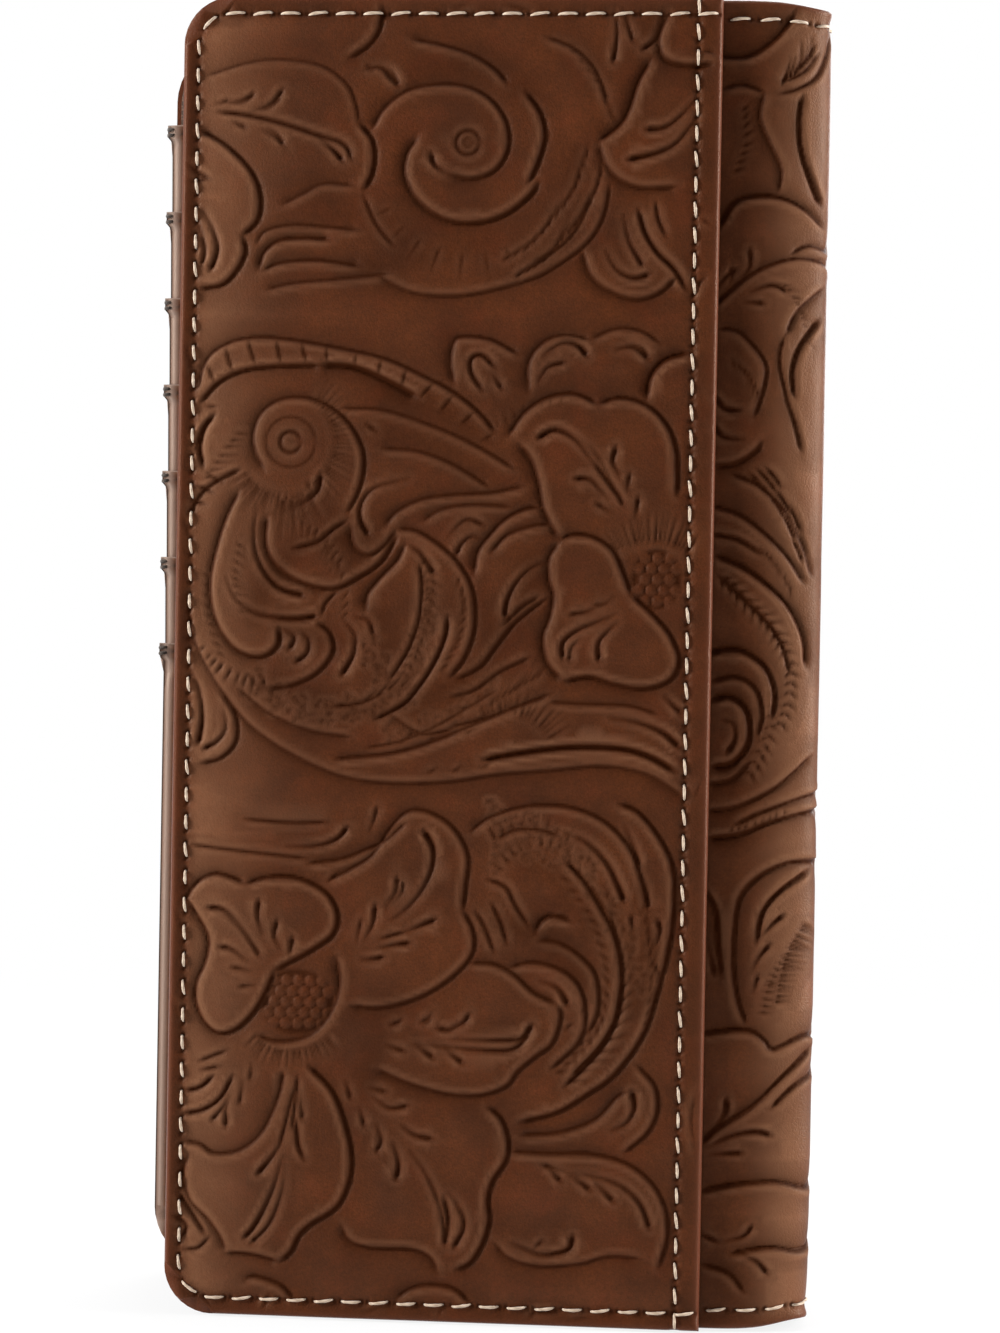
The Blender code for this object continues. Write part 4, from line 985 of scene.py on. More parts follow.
def cut_blank(name, outline, thick, cell=2.4, rim=0.0, ends=(-1, 1)):
    """A blank lying flat, in millimetres: its face is up, at zero. An outline is left, right,
    low, high and the radius of the left corners and of the right ones, at the ends named.
    A rim is a narrow border of its own faces, for the look of the cut edge."""
    left, right, low, high, *radii = outline
    bpy.ops.object.select_all(action="DESELECT")
    across, up = round((right - left) / cell), round((high - low) / cell)
    bpy.ops.mesh.primitive_grid_add(x_subdivisions=across, y_subdivisions=up, size=1)
    blank = bpy.context.object
    blank.name = blank.data.name = name
    blank.scale = (right - left, high - low, 1)
    blank.location = ((left + right) / 2, (low + high) / 2, 0)
    bpy.ops.object.transform_apply(location=True, rotation=True, scale=True)
    edit_mode(blank)
    bpy.context.tool_settings.mesh_select_mode = (False, False, True)
    for x, side, radius in ((left, -1, radii[0]), (right, 1, radii[1])):
        for end in ends if radius else ():
            centre = Vector((x - side * radius, (low if end < 0 else high) - end * radius, 0))
            for step in range(9):
                turn = math.radians(5 + 10 * step)
                away = Vector((side * math.cos(turn), end * math.sin(turn), 0))
                bisect(centre + away * radius, away, clear_outer=True)
    bpy.ops.mesh.select_all(action="SELECT")
    if rim:
        bpy.ops.mesh.inset(thickness=rim, use_boundary=True)
        bpy.ops.mesh.select_all(action="SELECT")
    bpy.ops.mesh.extrude_region_move(TRANSFORM_OT_translate={"value": (0, 0, -thick)})
    bpy.ops.mesh.select_all(action="SELECT")
    bpy.ops.mesh.normals_make_consistent(inside=False)
    object_mode()
    return blank


def refine(blank, nearness, limits):
    """Divides the face's squares, level by level, where detail is near."""
    for limit in limits:
        mesh = blank.data
        count = len(mesh.polygons)
        centres, normals, corners = np.zeros(count * 3), np.zeros(count * 3), np.zeros(count, int)
        mesh.polygons.foreach_get("center", centres)
        mesh.polygons.foreach_get("normal", normals)
        mesh.polygons.foreach_get("loop_total", corners)
        across, up, _ = centres.reshape(-1, 3).T
        chosen = (normals[2::3] > 0.5) & (corners == 4) & (nearness(across, up) < limit)
        only(blank)
        mesh.vertices.foreach_set("select", np.zeros(len(mesh.vertices), bool))
        mesh.edges.foreach_set("select", np.zeros(len(mesh.edges), bool))
        mesh.polygons.foreach_set("select", chosen)
        bpy.ops.object.mode_set(mode="EDIT")
        bpy.ops.mesh.subdivide(number_cuts=1)
        object_mode()


def edge_distance(across, up, outline):
    """How far inside a rounded outline a point lies."""
    left, right, low, high, left_corner, right_corner = outline
    radius = np.where(across < (left + right) / 2, left_corner, right_corner)
    off_x = np.abs(across - (left + right) / 2) - (right - left) / 2 + radius
    off_z = np.abs(up - (low + high) / 2) - (high - low) / 2 + radius
    outside = np.hypot(np.maximum(off_x, 0), np.maximum(off_z, 0))
    return radius - outside - np.minimum(np.maximum(off_x, off_z), 0)


def round_over(edge, radius=0.8):
    """How far a rounded edge lies below its face."""
    inner = np.clip(radius - edge, 0, radius)
    return radius - np.sqrt(radius**2 - inner**2)


def sewn_in(edge):
    """The hollow that a row of stitches pulls along an edge."""
    off = edge - THREAD_INSET
    return 0.34 * np.where(off > 0, np.exp(-((np.abs(off) / 3.4) ** 1.25)), bell(off, 0.95))


def ripple(across, up, size, seed=0.0):
    """Slow waves in a hide, from -1 to 1."""
    return np.array([noise.noise(Vector((x / size, z / size, seed))) for x, z in zip(across, up)])


def run_of(path):
    """The distance along a path at each of its points."""
    return np.concatenate([[0], np.cumsum(np.hypot(*np.diff(path, axis=0).T))])


def along_path(path, run, at, step):
    """Places at distances along a path, with the way it runs there."""
    spots, ahead, behind = (
        columns(*(np.interp(at + off, run, path[:, k]) for k in (0, 1))) for off in (0, step, -step)
    )
    way = ahead - behind
    return spots, way / np.linalg.norm(way, axis=1)[:, None]


def spaced(path, pitch):
    """Places along a path at an even pitch near the one given, with the way it runs there."""
    path = np.array(path, float)
    run = run_of(path)
    count = round(run[-1] / pitch)
    return along_path(path, run, run[-1] / count * (np.arange(count) + 0.5), 0.3)


def round_row(end_x, corner_x, low, high, radius, side):
    """A row of stitches along a panel's ends and round the corners of one side."""
    upright = 90 - 90 * side
    return (
        [(end_x, high)]
        + around((corner_x, high - radius), radius, 90, upright)
        + around((corner_x, low + radius), radius, upright, upright - 90 * side)
        + [(end_x, low)]
    )


def long_way(way):
    """How much longer a stitch is than one up the side: those across the ends pull longer."""
    return 1 + 0.36 * np.abs(way[..., :1])


def holes_of(stitches, half):
    """The awl holes at both ends of each stitch."""
    spots, way = stitches
    reach_out = way * half * long_way(way)
    return np.vstack([spots - reach_out, spots + reach_out])


def hole_distance(across, up, holes):
    """How far each point is from the nearest hole."""
    tree = kdtree.KDTree(len(holes))
    for n, (x, z) in enumerate(holes):
        tree.insert((x, z, 0), n)
    tree.balance()
    return np.array([tree.find((x, z, 0))[2] for x, z in zip(across, up)])


def fitted(piece, material, slot, body, *nodes):
    """Gives a finished piece its material and the body it moves with, and hides the CAD parts it stands
    for.
    """
    piece.data.materials.append(material)
    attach(piece, body)
    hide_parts(*nodes)


# The pocket's outline, and its rows of about six stitches to the inch.
POCKET_MOUTH, POCKET_THICK, POCKET_CORNER = 77.3, 1.4, 7.0
HEM_INSET, STITCH_PITCH, HEM_PITCH = 3.5, 4.0, 3.63
TOP_ROW, LOW_ROW, HEM_ROW = LENGTH - 2.5, 2.55, POCKET_MOUTH - HEM_INSET
COVER_HOLE, HEM_HOLE, PIT, PIT_WIDTH = 1.15, 1.2, 0.42, 0.42
pocket_outline = (0, POCKET_MOUTH, 0, LENGTH, POCKET_CORNER, 0)
# The rows of stitches don't turn at the mouth, so their own outline runs on past it.
sewn_outline = (0, POCKET_MOUTH + 40, 0, LENGTH, POCKET_CORNER, 0)
pocket_stitches = spaced(
    round_row(POCKET_MOUTH - 0.2, POCKET_CORNER, LOW_ROW, TOP_ROW, POCKET_CORNER - THREAD_INSET, -1),
    STITCH_PITCH,
)
hem_stitches = spaced([(HEM_ROW, LENGTH + 0.4), (HEM_ROW, -0.4)], HEM_PITCH)
pocket_holes = np.vstack([holes_of(pocket_stitches, COVER_HOLE), holes_of(hem_stitches, HEM_HOLE)])


def pocket_detail(across, up):
    """Distance to the nearest line, edge or hole, which says where the mesh must be fine."""
    near = np.minimum(tooled(across, up)[2], edge_distance(across, up, pocket_outline) - 0.3)
    return np.minimum(near, hole_distance(across, up, pocket_holes) - 0.2)


def near_edge(edge):
    """How much of the tooling is left towards an edge."""
    return np.clip((edge - 0.2) / 2.2, 0.25, 1)


pocket = cut_blank("slip_pocket_tooled", pocket_outline, POCKET_THICK)
refine(pocket, pocket_detail, (2.8, 1.6, 0.62))
across, up, height = points_of(pocket).T
face = height > -0.1
drop, stain, _, rubbed_there = tooled(across, up)
edge = edge_distance(across, up, pocket_outline)
from_edge = near_edge(edge)
hole = hole_distance(across, up, pocket_holes)
mouth = POCKET_MOUTH - across
rows_edge = edge_distance(across, up, sewn_outline)
hollow = sewn_in(rows_edge) + 0.16 * bell(mouth - HEM_INSET, 0.8)
drop = drop * from_edge + hollow + PIT * bell(hole, PIT_WIDTH) + round_over(edge)
depth = np.where(face, np.clip(drop + 0.05 * (1 + ripple(across, up, 16)), 0, 1.15), POCKET_THICK)
put_on_wallet(pocket, columns(across, depth, up))
# Painted shade in the awl holes; darker along the hem's row and along the rim outside the stitches.
stain = np.maximum(stain * from_edge, bell(hole, 0.5) * 0.9)
stain = np.maximum(stain, 0.35 * bell(mouth - HEM_INSET, 0.5))
rim_there = share_of((THREAD_INSET + 0.6 - np.minimum(rows_edge, mouth - 0.9)) / 0.5)
stain = np.maximum(stain, 0.32 * rim_there)
# A painted highlight near the fore-edge, as from the light on the left.
left_edge_highlight = 0.82 * bell(across, 10) * share_of((edge - 2) / 2)
set_values(
    pocket,
    columns(across, up, depth),
    stain=np.where(face, stain, 0),
    rubbed=np.where(face, rubbed_there * from_edge + left_edge_highlight, 0),
    edge=np.where(face, bell(edge, 0.75), 1),
)
smooth(pocket)
fitted(pocket, tooled_leather, "tooled_leather", "wallet_body", "slip_pocket_panel")


# Sewing thread: cream waxed linen, two plies laid up in a twist. Each stitch is a short
# length that rises out of one hole and dips into the next.
COVER_STITCH, HEM_STITCH = (2.15, 0.44), (2.35, 0.44)


def thread_material(name, shaded, lit):
    """Twisted fibres, a lit colour with painted shade where the plies meet."""
    made, tree, shader = new_material(name)
    lay = held(tree, "hide", "Vector")
    fibres = fractal(tree, stretched(tree, lay, (2.5, 9.0, 9.0)), 1.6, 3.0)
    twist = node(tree, "TexWave", bands_direction="DIAGONAL", Vector=lay, Scale=0.55, Distortion=0.6)
    shade = scaled(tree, twist.outputs["Fac"], 0.45, maths(tree, "MULTIPLY", fibres, 0.55))
    wire(
        tree, shader,
        Base_Color=blended(tree, shade, shaded, lit),
        Roughness=0.62,
        Sheen_Weight=0.25,
        Normal=bumped(tree, shade, 0.06, 0.9),
    )
    return made


thread = thread_material("thread_cream", (0.38, 0.26, 0.17, 1), (0.68, 0.54, 0.405, 1))


def taken_shape(made):
    """A piece's points and faces, which the piece itself gives up."""
    found = points_of(made), [tuple(face.vertices) for face in made.data.polygons]
    bpy.data.objects.remove(made)
    return found


def closed(made):
    """Turns all of a piece's faces outwards."""
    edit_mode(made)
    bpy.ops.mesh.normals_make_consistent(inside=False)
    object_mode()


def new_piece(name, points, faces, hide):
    """A piece from points in millimetres on the wallet."""
    mesh = bpy.data.meshes.new(name)
    mesh.from_pydata((np.vstack(points) + CORNER) * MM, [], faces)
    made = bpy.data.objects.new(name, mesh)
    bpy.context.collection.objects.link(made)
    set_values(made, np.vstack(hide))
    closed(made)
    return made


def one_stitch(length, thick):
    """A stitch lying along x: a rounded, twisted length with its ends dipped down."""
    bpy.ops.object.select_all(action="DESELECT")
    bpy.ops.mesh.primitive_uv_sphere_add(segments=6, ring_count=9, radius=1)
    shape, faces = taken_shape(bpy.context.object)
    along = shape[:, 2]
    turn = np.arctan2(shape[:, 1], shape[:, 0])
    girth = thick / 2 * np.sqrt(share_of(1 - along**6)) * (1 + 0.13 * np.cos(2 * turn + 5.2 * along))
    girth = np.where(np.abs(along) > 0.999, 0, girth)
    lift = 0.16 - 0.62 * np.abs(along) ** 3.2
    return columns(along * length / 2, girth * np.cos(turn), girth * np.sin(turn) * 0.85 + lift), faces


def sew(name, stitches, size, bend, rise=0.0, material=thread):
    """One row of stitches as one piece. bend turns places on the flat hide, with a height above
    it, into places on the wallet; each stitch is turned a little, as thread lies."""
    shape, faces = one_stitch(*size)
    points, hides, all_faces = [], [], []
    for n, (spot, way) in enumerate(zip(*stitches)):
        sway = math.radians(4 * math.sin(n * 2.4) + 5)
        cos, sin = math.cos(sway), math.sin(sway)
        way = np.array([way[0] * cos - way[1] * sin, way[0] * sin + way[1] * cos])
        side = np.array([-way[1], way[0]])
        flat = spot + shape[:, :1] * way * long_way(way) + shape[:, 1:2] * side
        points.append(bend(flat[:, 0], flat[:, 1], shape[:, 2] + rise))
        hides.append(shape + [n * 7.3, 0, 0])
        all_faces += [tuple(v + n * len(shape) for v in face) for face in faces]
    made = new_piece(name, points, all_faces, hides)
    bpy.ops.object.shade_smooth()
    made.data.materials.append(material)
    return made


def on_pocket(across, up, height):
    return columns(across, 0.22 - height, up)


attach(sew("slip_pocket_stitching", pocket_stitches, COVER_STITCH, on_pocket), "wallet_body")
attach(sew("slip_pocket_hem_stitching", hem_stitches, HEM_STITCH, on_pocket, 0.05), "wallet_body")


# The cover: one wrap of the same leather round the back, spine and front, turned softly at
# both folds. It is shown as two halves that meet along the middle of the spine.
COVER_THICK, BACK_FACE, FRONT_FACE, SPINE_X = 1.4, 1.7, 27.125, 93.0
BEND, FOLD_X, BACK_FOLD, FRONT_FOLD = 4.5, 88.5, 6.2, 22.625
FRONT_EDGE, FRONT_CORNER, BACK_CORNER = -6.0, 10.0, 7.0
FOLD_FROM = 85.0
FOLD_OUT = SPINE_X - FOLD_FROM
turns = np.linspace(0, math.pi / 2, 91)
fold_run = run_of(columns(FOLD_OUT * np.sin(turns), BEND * (1 - np.cos(turns))))
ARC = fold_run[-1]
SPINE_FROM = FOLD_FROM + ARC
SPINE_TO = SPINE_FROM + FRONT_FOLD - BACK_FOLD
FRONT_FROM = SPINE_TO + ARC
WRAP_END = FRONT_FROM + FOLD_FROM - FRONT_EDGE
MID_SPINE = (SPINE_FROM + SPINE_TO) / 2
STRIP_TO, SPINE_SHIFT, FRONT_SHIFT = 97, 46.0, 117.5


def fold_place(run, height):
    """Distance out and up round a fold that turns from flat to upright."""
    turn = np.interp(run, fold_run, turns)
    out, up = FOLD_OUT * np.sin(turn), BEND * (1 - np.cos(turn))
    slope = np.stack([BEND * np.sin(turn), FOLD_OUT * np.cos(turn)])
    slope = slope / np.hypot(*slope)
    return out + height * slope[0], up - height * slope[1]


def wrap(run, up, height):
    """A place on the cover: run is the distance round it from the back's fore-edge. The ends
    of a fold are drawn in a little, as leather is where it turns."""
    out, rise = fold_place(run - FOLD_FROM, height)
    front_out, front_rise = fold_place(FRONT_FROM - run, height)
    parts = [run < FOLD_FROM, run < SPINE_FROM, run < SPINE_TO, run < FRONT_FROM]
    x = [run, FOLD_FROM + out, SPINE_X + height, FOLD_FROM + front_out]
    y = [BACK_FACE - height, BACK_FACE + rise, BACK_FOLD + run - SPINE_FROM, FRONT_FACE - front_rise]
    x = np.select(parts, x, FOLD_FROM - (run - FRONT_FROM))
    y = np.select(parts, y, FRONT_FACE + height)
    folded = bell(run - SPINE_FROM + 3, 6) + bell(run - SPINE_TO - 3, 6)
    pulled = 1.3 * np.exp(-np.maximum(up, 0) / 6) - 0.8 * np.exp(-np.maximum(LENGTH - up, 0) / 6)
    return columns(x, y, up + folded * pulled)


def cover_pattern(run, up):
    """The tooling round the cover: the strip by the mouth, the spine, and the front's own."""
    seen = fold_place(np.clip(run - FOLD_FROM, 0, ARC * 0.8), 0)[0]
    seen = np.where(run < FOLD_FROM, run, FOLD_FROM + seen) + np.maximum(run - FOLD_FROM - ARC * 0.8, 0)
    parts = []
    for start, end, place in (
        (-99, STRIP_TO, seen),
        (STRIP_TO, FRONT_SHIFT, seen - SPINE_SHIFT),
        (FRONT_SHIFT, 999, run - FRONT_SHIFT),
    ):
        share = share_of((run - start + 1) / 2) * share_of((end + 1 - run) / 2)
        parts.append((share, tooled(place, up)))
    drop, stain, pale = (sum(share * values[n] for share, values in parts) for n in (0, 1, 3))
    near = np.minimum.reduce([np.where(share > 0, values[2], FAR_OFF) for share, values in parts])
    return drop, stain, near, pale


def joined(rows):
    return tuple(np.vstack(part) for part in zip(*rows))


front_row = round_row(MID_SPINE, WRAP_END - FRONT_CORNER, LOW_ROW, TOP_ROW, FRONT_CORNER - THREAD_INSET, 1)
front_stitches = spaced(front_row, STITCH_PITCH)
strip_stitches = joined(
    spaced([(POCKET_MOUTH + 0.3, row), (MID_SPINE, row)], STITCH_PITCH)
    for row in (TOP_ROW - 0.3, LOW_ROW + 0.3)
)
cover_outline = (0, WRAP_END, 0, LENGTH, BACK_CORNER, FRONT_CORNER)


def cover_half(name, outline, stitches, hidden_before, levels, shaded=0.0):
    """Half of the cover, cut flat, tooled, sewn and bent round the folds. shaded is how much
    painted shadow, as the pocket's mouth would cast, lies on the strip beside it."""
    holes = holes_of(stitches, COVER_HOLE)
    blank = cut_blank(name, outline, COVER_THICK)

    def detail(run, up):
        near = np.minimum(cover_pattern(run, up)[2], edge_distance(run, up, cover_outline) - 0.3)
        near = np.minimum(near, hole_distance(run, up, holes) - 0.2)
        folds = np.minimum(np.abs(run - FOLD_FROM - ARC / 2), np.abs(run - SPINE_TO - ARC / 2))
        folds = folds - ARC / 2 - 0.9
        return np.where(run < hidden_before, 99.0, np.minimum(near, np.maximum(folds, 0.8)))

    refine(blank, detail, levels)
    run, up, height = points_of(blank).T
    face = height > -0.1
    drop, stain, _, pale = cover_pattern(run, up)
    edge = edge_distance(run, up, cover_outline)
    from_edge = near_edge(edge) * share_of((run - hidden_before) / 1.0)
    hole = hole_distance(run, up, holes)
    drop = drop * from_edge + sewn_in(edge) * share_of((run - hidden_before) / 2)
    drop = drop + PIT * bell(hole, PIT_WIDTH) + round_over(edge)
    drop = drop + 0.05 * (1 + ripple(run, up, 16, 3.0))
    height = np.where(face, -np.clip(drop, 0, 1.1), -COVER_THICK)
    put_on_wallet(blank, wrap(run, up, height))
    # Painted shadow on the strip beside the pocket's mouth, and painted shade in the awl holes.
    stain = stain * from_edge + shaded * bell(np.maximum(run - POCKET_MOUTH, 0), 9.5) * (run < 99)
    stain = share_of(np.maximum(stain, bell(hole, 0.5) * 0.9))
    # A painted highlight along the back fold, as from the light on the right, and a fainter one on the
    # front fold.
    on_front_fold = np.abs(run - SPINE_TO - ARC / 2) < ARC / 2
    wear_and_highlight = 0.92 * bell(run - FOLD_FROM - ARC * 0.42, 4.2) + 0.2 * on_front_fold
    set_values(
        blank,
        columns(run + 40, up, height),
        stain=np.where(face, stain, 0.15),
        rubbed=np.where(face, pale * from_edge + wear_and_highlight * np.clip(edge / 3, 0.2, 1), 0),
        edge=np.where(face, bell(edge, 0.75), 0.6),
    )
    smooth(blank)
    blank.data.materials.append(tooled_leather)
    return blank


def on_cover(run, up, height):
    return wrap(run, up, height - 0.22)


back_outline = (0, MID_SPINE, 0, LENGTH, BACK_CORNER, 0)
front_outline = (MID_SPINE, WRAP_END, 0, LENGTH, 0, FRONT_CORNER)
back_cover = cover_half(
    "back_cover_tooled", back_outline, strip_stitches, POCKET_MOUTH - 2.5, (2.9, 1.7, 0.8), 0.3
)
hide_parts("back_cover_leather", "spine_leather")
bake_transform(back_cover)
front_cover = cover_half("front_cover_tooled", front_outline, front_stitches, -99, (2.0, 1.1, 0.3))
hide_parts("front_cover_leather")
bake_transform(front_cover)
back_thread = sew("back_cover_stitching", strip_stitches, COVER_STITCH, on_cover)
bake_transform(back_thread)
front_thread = sew("front_cover_stitching", front_stitches, COVER_STITCH, on_cover)
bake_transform(front_thread)


# Woven cloth: lining twill, plain gusset cloth and zip tape share one weave, of threads that
# pass over and under each other on the cloth's own grid in millimetres.
weave, taken, given = shared_effect(
    "weave", ("Height", "Over"), Place="Vector", Threads="Float", Repeat="Float"
)
counted = times(weave, taken["Place"], taken["Threads"])
warp, weft = node(weave, "SeparateXYZ", counted).outputs[:2]
cell = maths(weave, "ADD", maths(weave, "FLOOR", warp), maths(weave, "FLOOR", weft))
over = maths(weave, "LESS_THAN", maths(weave, "FLOORED_MODULO", cell, taken["Repeat"]), 0.99)
round_warp, round_weft = (
    maths(weave, "ABSOLUTE", maths(weave, "SINE", maths(weave, "MULTIPLY", way, math.pi)))
    for way in (warp, weft)
)
lifted = maths(weave, "MULTIPLY", round_warp, scaled(weave, over, 0.75, 0.25))
sunk = maths(weave, "MULTIPLY", round_weft, scaled(weave, over, -0.75, 1.0))
wire(weave, given, Height=maths(weave, "MAXIMUM", lifted, sunk), Over=over)


def cloth_material(name, warp_dye, weft_dye, threads, repeat, relief):
    """Dyed cloth: two thread colours, painted shade between the threads, fuzz and faded patches."""
    made, tree, shader = new_material(name)
    place = held(tree, "hide", "Vector")
    woven = node(tree, "Group", node_tree=weave, Place=place, Threads=threads, Repeat=repeat).outputs
    fuzz = fractal(tree, place, 2.2, 4.0, 0.7)
    faded = fractal(tree, place, 0.06, 3.0)
    dye = blended(tree, woven["Over"], warp_dye, weft_dye)
    lit = scaled(tree, woven["Height"], 0.65, scaled(tree, fuzz, 0.5, 0.1))
    lit = maths(tree, "MULTIPLY", lit, scaled(tree, faded, 0.9, 0.55))
    wire(
        tree, shader,
        Base_Color=times(tree, dye, lit),
        Roughness=scaled(tree, fuzz, 0.2, 0.68),
        Normal=bumped(tree, scaled(tree, fuzz, 0.4, woven["Height"]), relief, 0.7),
        Sheen_Weight=0.2,
        Sheen_Roughness=0.5,
        Specular_IOR_Level=0.2,
    )
    return made


def level(across, up):
    return np.zeros(len(across))


def lay_in_place(
    blank, face_y, towards, thick, drop=level, lean=level, stain=level, edge=level, shift=level
):
    """Puts a flat blank in its layer. towards is the way its face looks: -1 to the back cover,
    1 to the front one. drop lowers the face, lean moves the whole thickness with it and shift
    moves it across. The staining, painted shade included, and the edge colour are for the material."""
    across, up, height = points_of(blank).T
    face = height > -thick / 2
    depth = np.where(face, drop(across, up), thick)
    y = face_y - towards * depth + lean(across, up)
    put_on_wallet(blank, columns(across + shift(across, up), y, up))
    if towards > 0:
        blank.data.flip_normals()
    stained, bare = np.where(face, stain(across, up), 0.1), np.where(face, edge(across, up), 1)
    set_values(blank, columns(across, up, depth + face_y * 3), stain=stained, edge=bare)
    smooth(blank)


# Linings: brown cotton twill glued to the covers, and on board as the divider and the wall
# of the coin pocket. Each is one flat piece, with its corners rounded at the fore-edge.
lining_cloth = cloth_material(
    "lining_twill_brown", (0.115, 0.062, 0.038, 1), (0.062, 0.033, 0.021, 1),
    threads=2.1, repeat=3, relief=0.10,
)
INNER_LOW, INNER_HIGH, LAYER_CORNER, LINING_CORNER = 1.5, 188.5, 6.0, 9.0
CLOTH, DIVIDER_CLOTH, CUT_EDGE = 0.5, 0.6, 0.18
BACK_LINING, DIVIDER, COIN_WALL, FRONT_LINING, SPINE_LINING_X = 5.0, 9.4, 11.6, 23.825, 90.8


def lining(name, node_name, body, outline, face_y, towards, thick, seed):
    blank = cut_blank(name, outline, thick, cell=3.2, rim=0.3)
    left, right, low, high, corner, _ = outline

    def slack(across, up):
        inside = edge_distance(across, up, (left, right, low, high, 0, 0))
        return 0.07 * ripple(across, up, 17, seed) * np.clip(inside / 6, 0.2, 1)

    def rounded(across, up):
        return round_over(edge_distance(across, up, outline), CUT_EDGE)

    lay_in_place(blank, face_y, towards, thick, drop=rounded, lean=slack)
    fitted(blank, lining_cloth, "lining_cloth", body, node_name)


lining(
    "back_lining_twill", "back_lining", "wallet_body", (1, 86, INNER_LOW, INNER_HIGH, LAYER_CORNER, 0),
    BACK_LINING, 1, CLOTH, 1.0,
)
lining(
    "bill_divider_twill", "bill_divider", "wallet_body", (1.8, 82, 2.6, 187.4, LAYER_CORNER, 0),
    DIVIDER, -1, DIVIDER_CLOTH, 2.0,
)
lining(
    "coin_wall_twill", "coin_pocket_wall", "wallet_body", (1.8, 84, INNER_LOW, INNER_HIGH, LAYER_CORNER, 0),
    COIN_WALL, -1, CLOTH, 3.0,
)
lining(
    "front_lining_twill", "front_cover_lining", "front_cover",
    (-5, 86, INNER_LOW, INNER_HIGH, LINING_CORNER, 0), FRONT_LINING, -1, CLOTH, 4.0,
)

spine_outline = (BACK_FOLD, FRONT_FOLD, INNER_LOW, INNER_HIGH, 0, 0)
spine_cloth = cut_blank("spine_lining_twill", spine_outline, CLOTH, cell=3.0, rim=0.3)
across, up, height = points_of(spine_cloth).T
rounded = round_over(edge_distance(across, up, spine_outline), CUT_EDGE)
depth = np.where(height > -CLOTH / 2, rounded, CLOTH)
bow = 0.06 * ripple(across, up, 15, 5.0)
put_on_wallet(spine_cloth, columns(SPINE_LINING_X + depth + bow, across, up))
spine_cloth.data.flip_normals()
set_values(spine_cloth, columns(across, up, depth))
smooth(spine_cloth)
fitted(spine_cloth, lining_cloth, "lining_cloth", "spine", "spine_lining")


# Gussets: dark plain-woven cloth, pleated across each end of the bill compartments and of
# the coin pocket, and a strip that closes the compartments along the fore-edge.
gusset_cloth = cloth_material(
    "gusset_cloth_dark", (0.060, 0.036, 0.025, 1), (0.042, 0.025, 0.018, 1),
    threads=2.6, repeat=2, relief=0.08,
)
GUSSET, GUSSET_LEFT, PLEAT_OUT, PLEAT_IN = 0.4, 7.0, 1.7, 10.5
bill_turns = [(5.5, PLEAT_OUT), (7.2, PLEAT_IN), (8.9, PLEAT_OUT)]
bill_turns += [(10.5, PLEAT_OUT), (10.8, PLEAT_IN), (11.1, PLEAT_OUT)]
coin_turns = [(12.6, PLEAT_OUT), (14.7, 8.25), (16.8, PLEAT_OUT)]


def softened(points, radius):
    """A zigzag in y and z with its turns rounded, as creased cloth turns."""
    points = np.array(points, float)
    path = [points[0]]
    for before, corner, after in zip(points, points[1:], points[2:]):
        back, on = before - corner, after - corner
        back, on = back / np.linalg.norm(back), on / np.linalg.norm(on)
        half = math.acos(np.clip(back @ on, -1, 1)) / 2
        reach_out = radius / math.tan(half)
        start, end = corner + back * reach_out, corner + on * reach_out
        centre = corner + (back + on) / np.linalg.norm(back + on) * radius / math.sin(half)
        for share in np.linspace(0, 1, 7):
            spoke = (start - centre) * (1 - share) + (end - centre) * share
            path.append(centre + spoke / np.linalg.norm(spoke) * radius)
    return np.vstack([path, points[-1:]])


def gusset(name, node_name, right, turns, radius, seed):
    """Cloth that follows a zigzag. Its flat blank is bent over the pleats."""
    path = softened(turns, radius)
    run = run_of(path)
    blank = cut_blank(name, (GUSSET_LEFT, right, 0, run[-1], 0, 0), GUSSET, cell=0.55)
    across, along, height = points_of(blank).T
    height = height + GUSSET / 2
    here, way = along_path(path, run, along, 0.12)
    slack = 0.09 * ripple(across, along * 2.5, 9, seed)
    here = here + columns(-way[:, 1], way[:, 0]) * (height + slack)[:, None]
    put_on_wallet(blank, columns(across, here[:, 0], here[:, 1]))
    closed(blank)
    set_values(blank, columns(across, along, height))
    smooth(blank, 60)
    fitted(blank, gusset_cloth, "gusset_cloth", "wallet_body", node_name)


for end, foot, way in (("bottom", 0, 1), ("top", LENGTH, -1)):
    gusset(
        f"accordion_gusset_cloth_{end}", f"accordion_gusset_{end}", 82,
        [(y, foot + way * z) for y, z in bill_turns], 0.25, 6.0,
    )
    gusset(
        f"coin_gusset_cloth_{end}", f"coin_gusset_{end}", 84,
        [(y, foot + way * z) for y, z in coin_turns], 0.5, 7.0,
    )

FLOOR_LOW, FLOOR_HIGH, FLOOR_FROM, FLOOR_TO, FLOOR_CLOTH = 5.3, 17.0, 7, 183, 0.5
floor_outline = (FLOOR_LOW, FLOOR_HIGH, FLOOR_FROM, FLOOR_TO, 0, 0)
floor_cloth = cut_blank("compartment_floor_cloth", floor_outline, FLOOR_CLOTH, cell=0.6)
flat = points_of(floor_cloth)
across, up, height = flat.T
ribs = np.sin(np.pi * (across - FLOOR_LOW) / (FLOOR_HIGH - FLOOR_LOW) * 3) ** 2
fold = 0.75 * ribs + 0.05 * ripple(across * 2, up, 12, 8.0) * ribs
x = 1.0 - fold + np.where(height > -FLOOR_CLOTH / 2, 0, FLOOR_CLOTH)
put_on_wallet(floor_cloth, columns(x, across, up))
closed(floor_cloth)
set_values(floor_cloth, flat)
smooth(floor_cloth, 60)
fitted(floor_cloth, gusset_cloth, "gusset_cloth", "wallet_body", "compartment_floor")


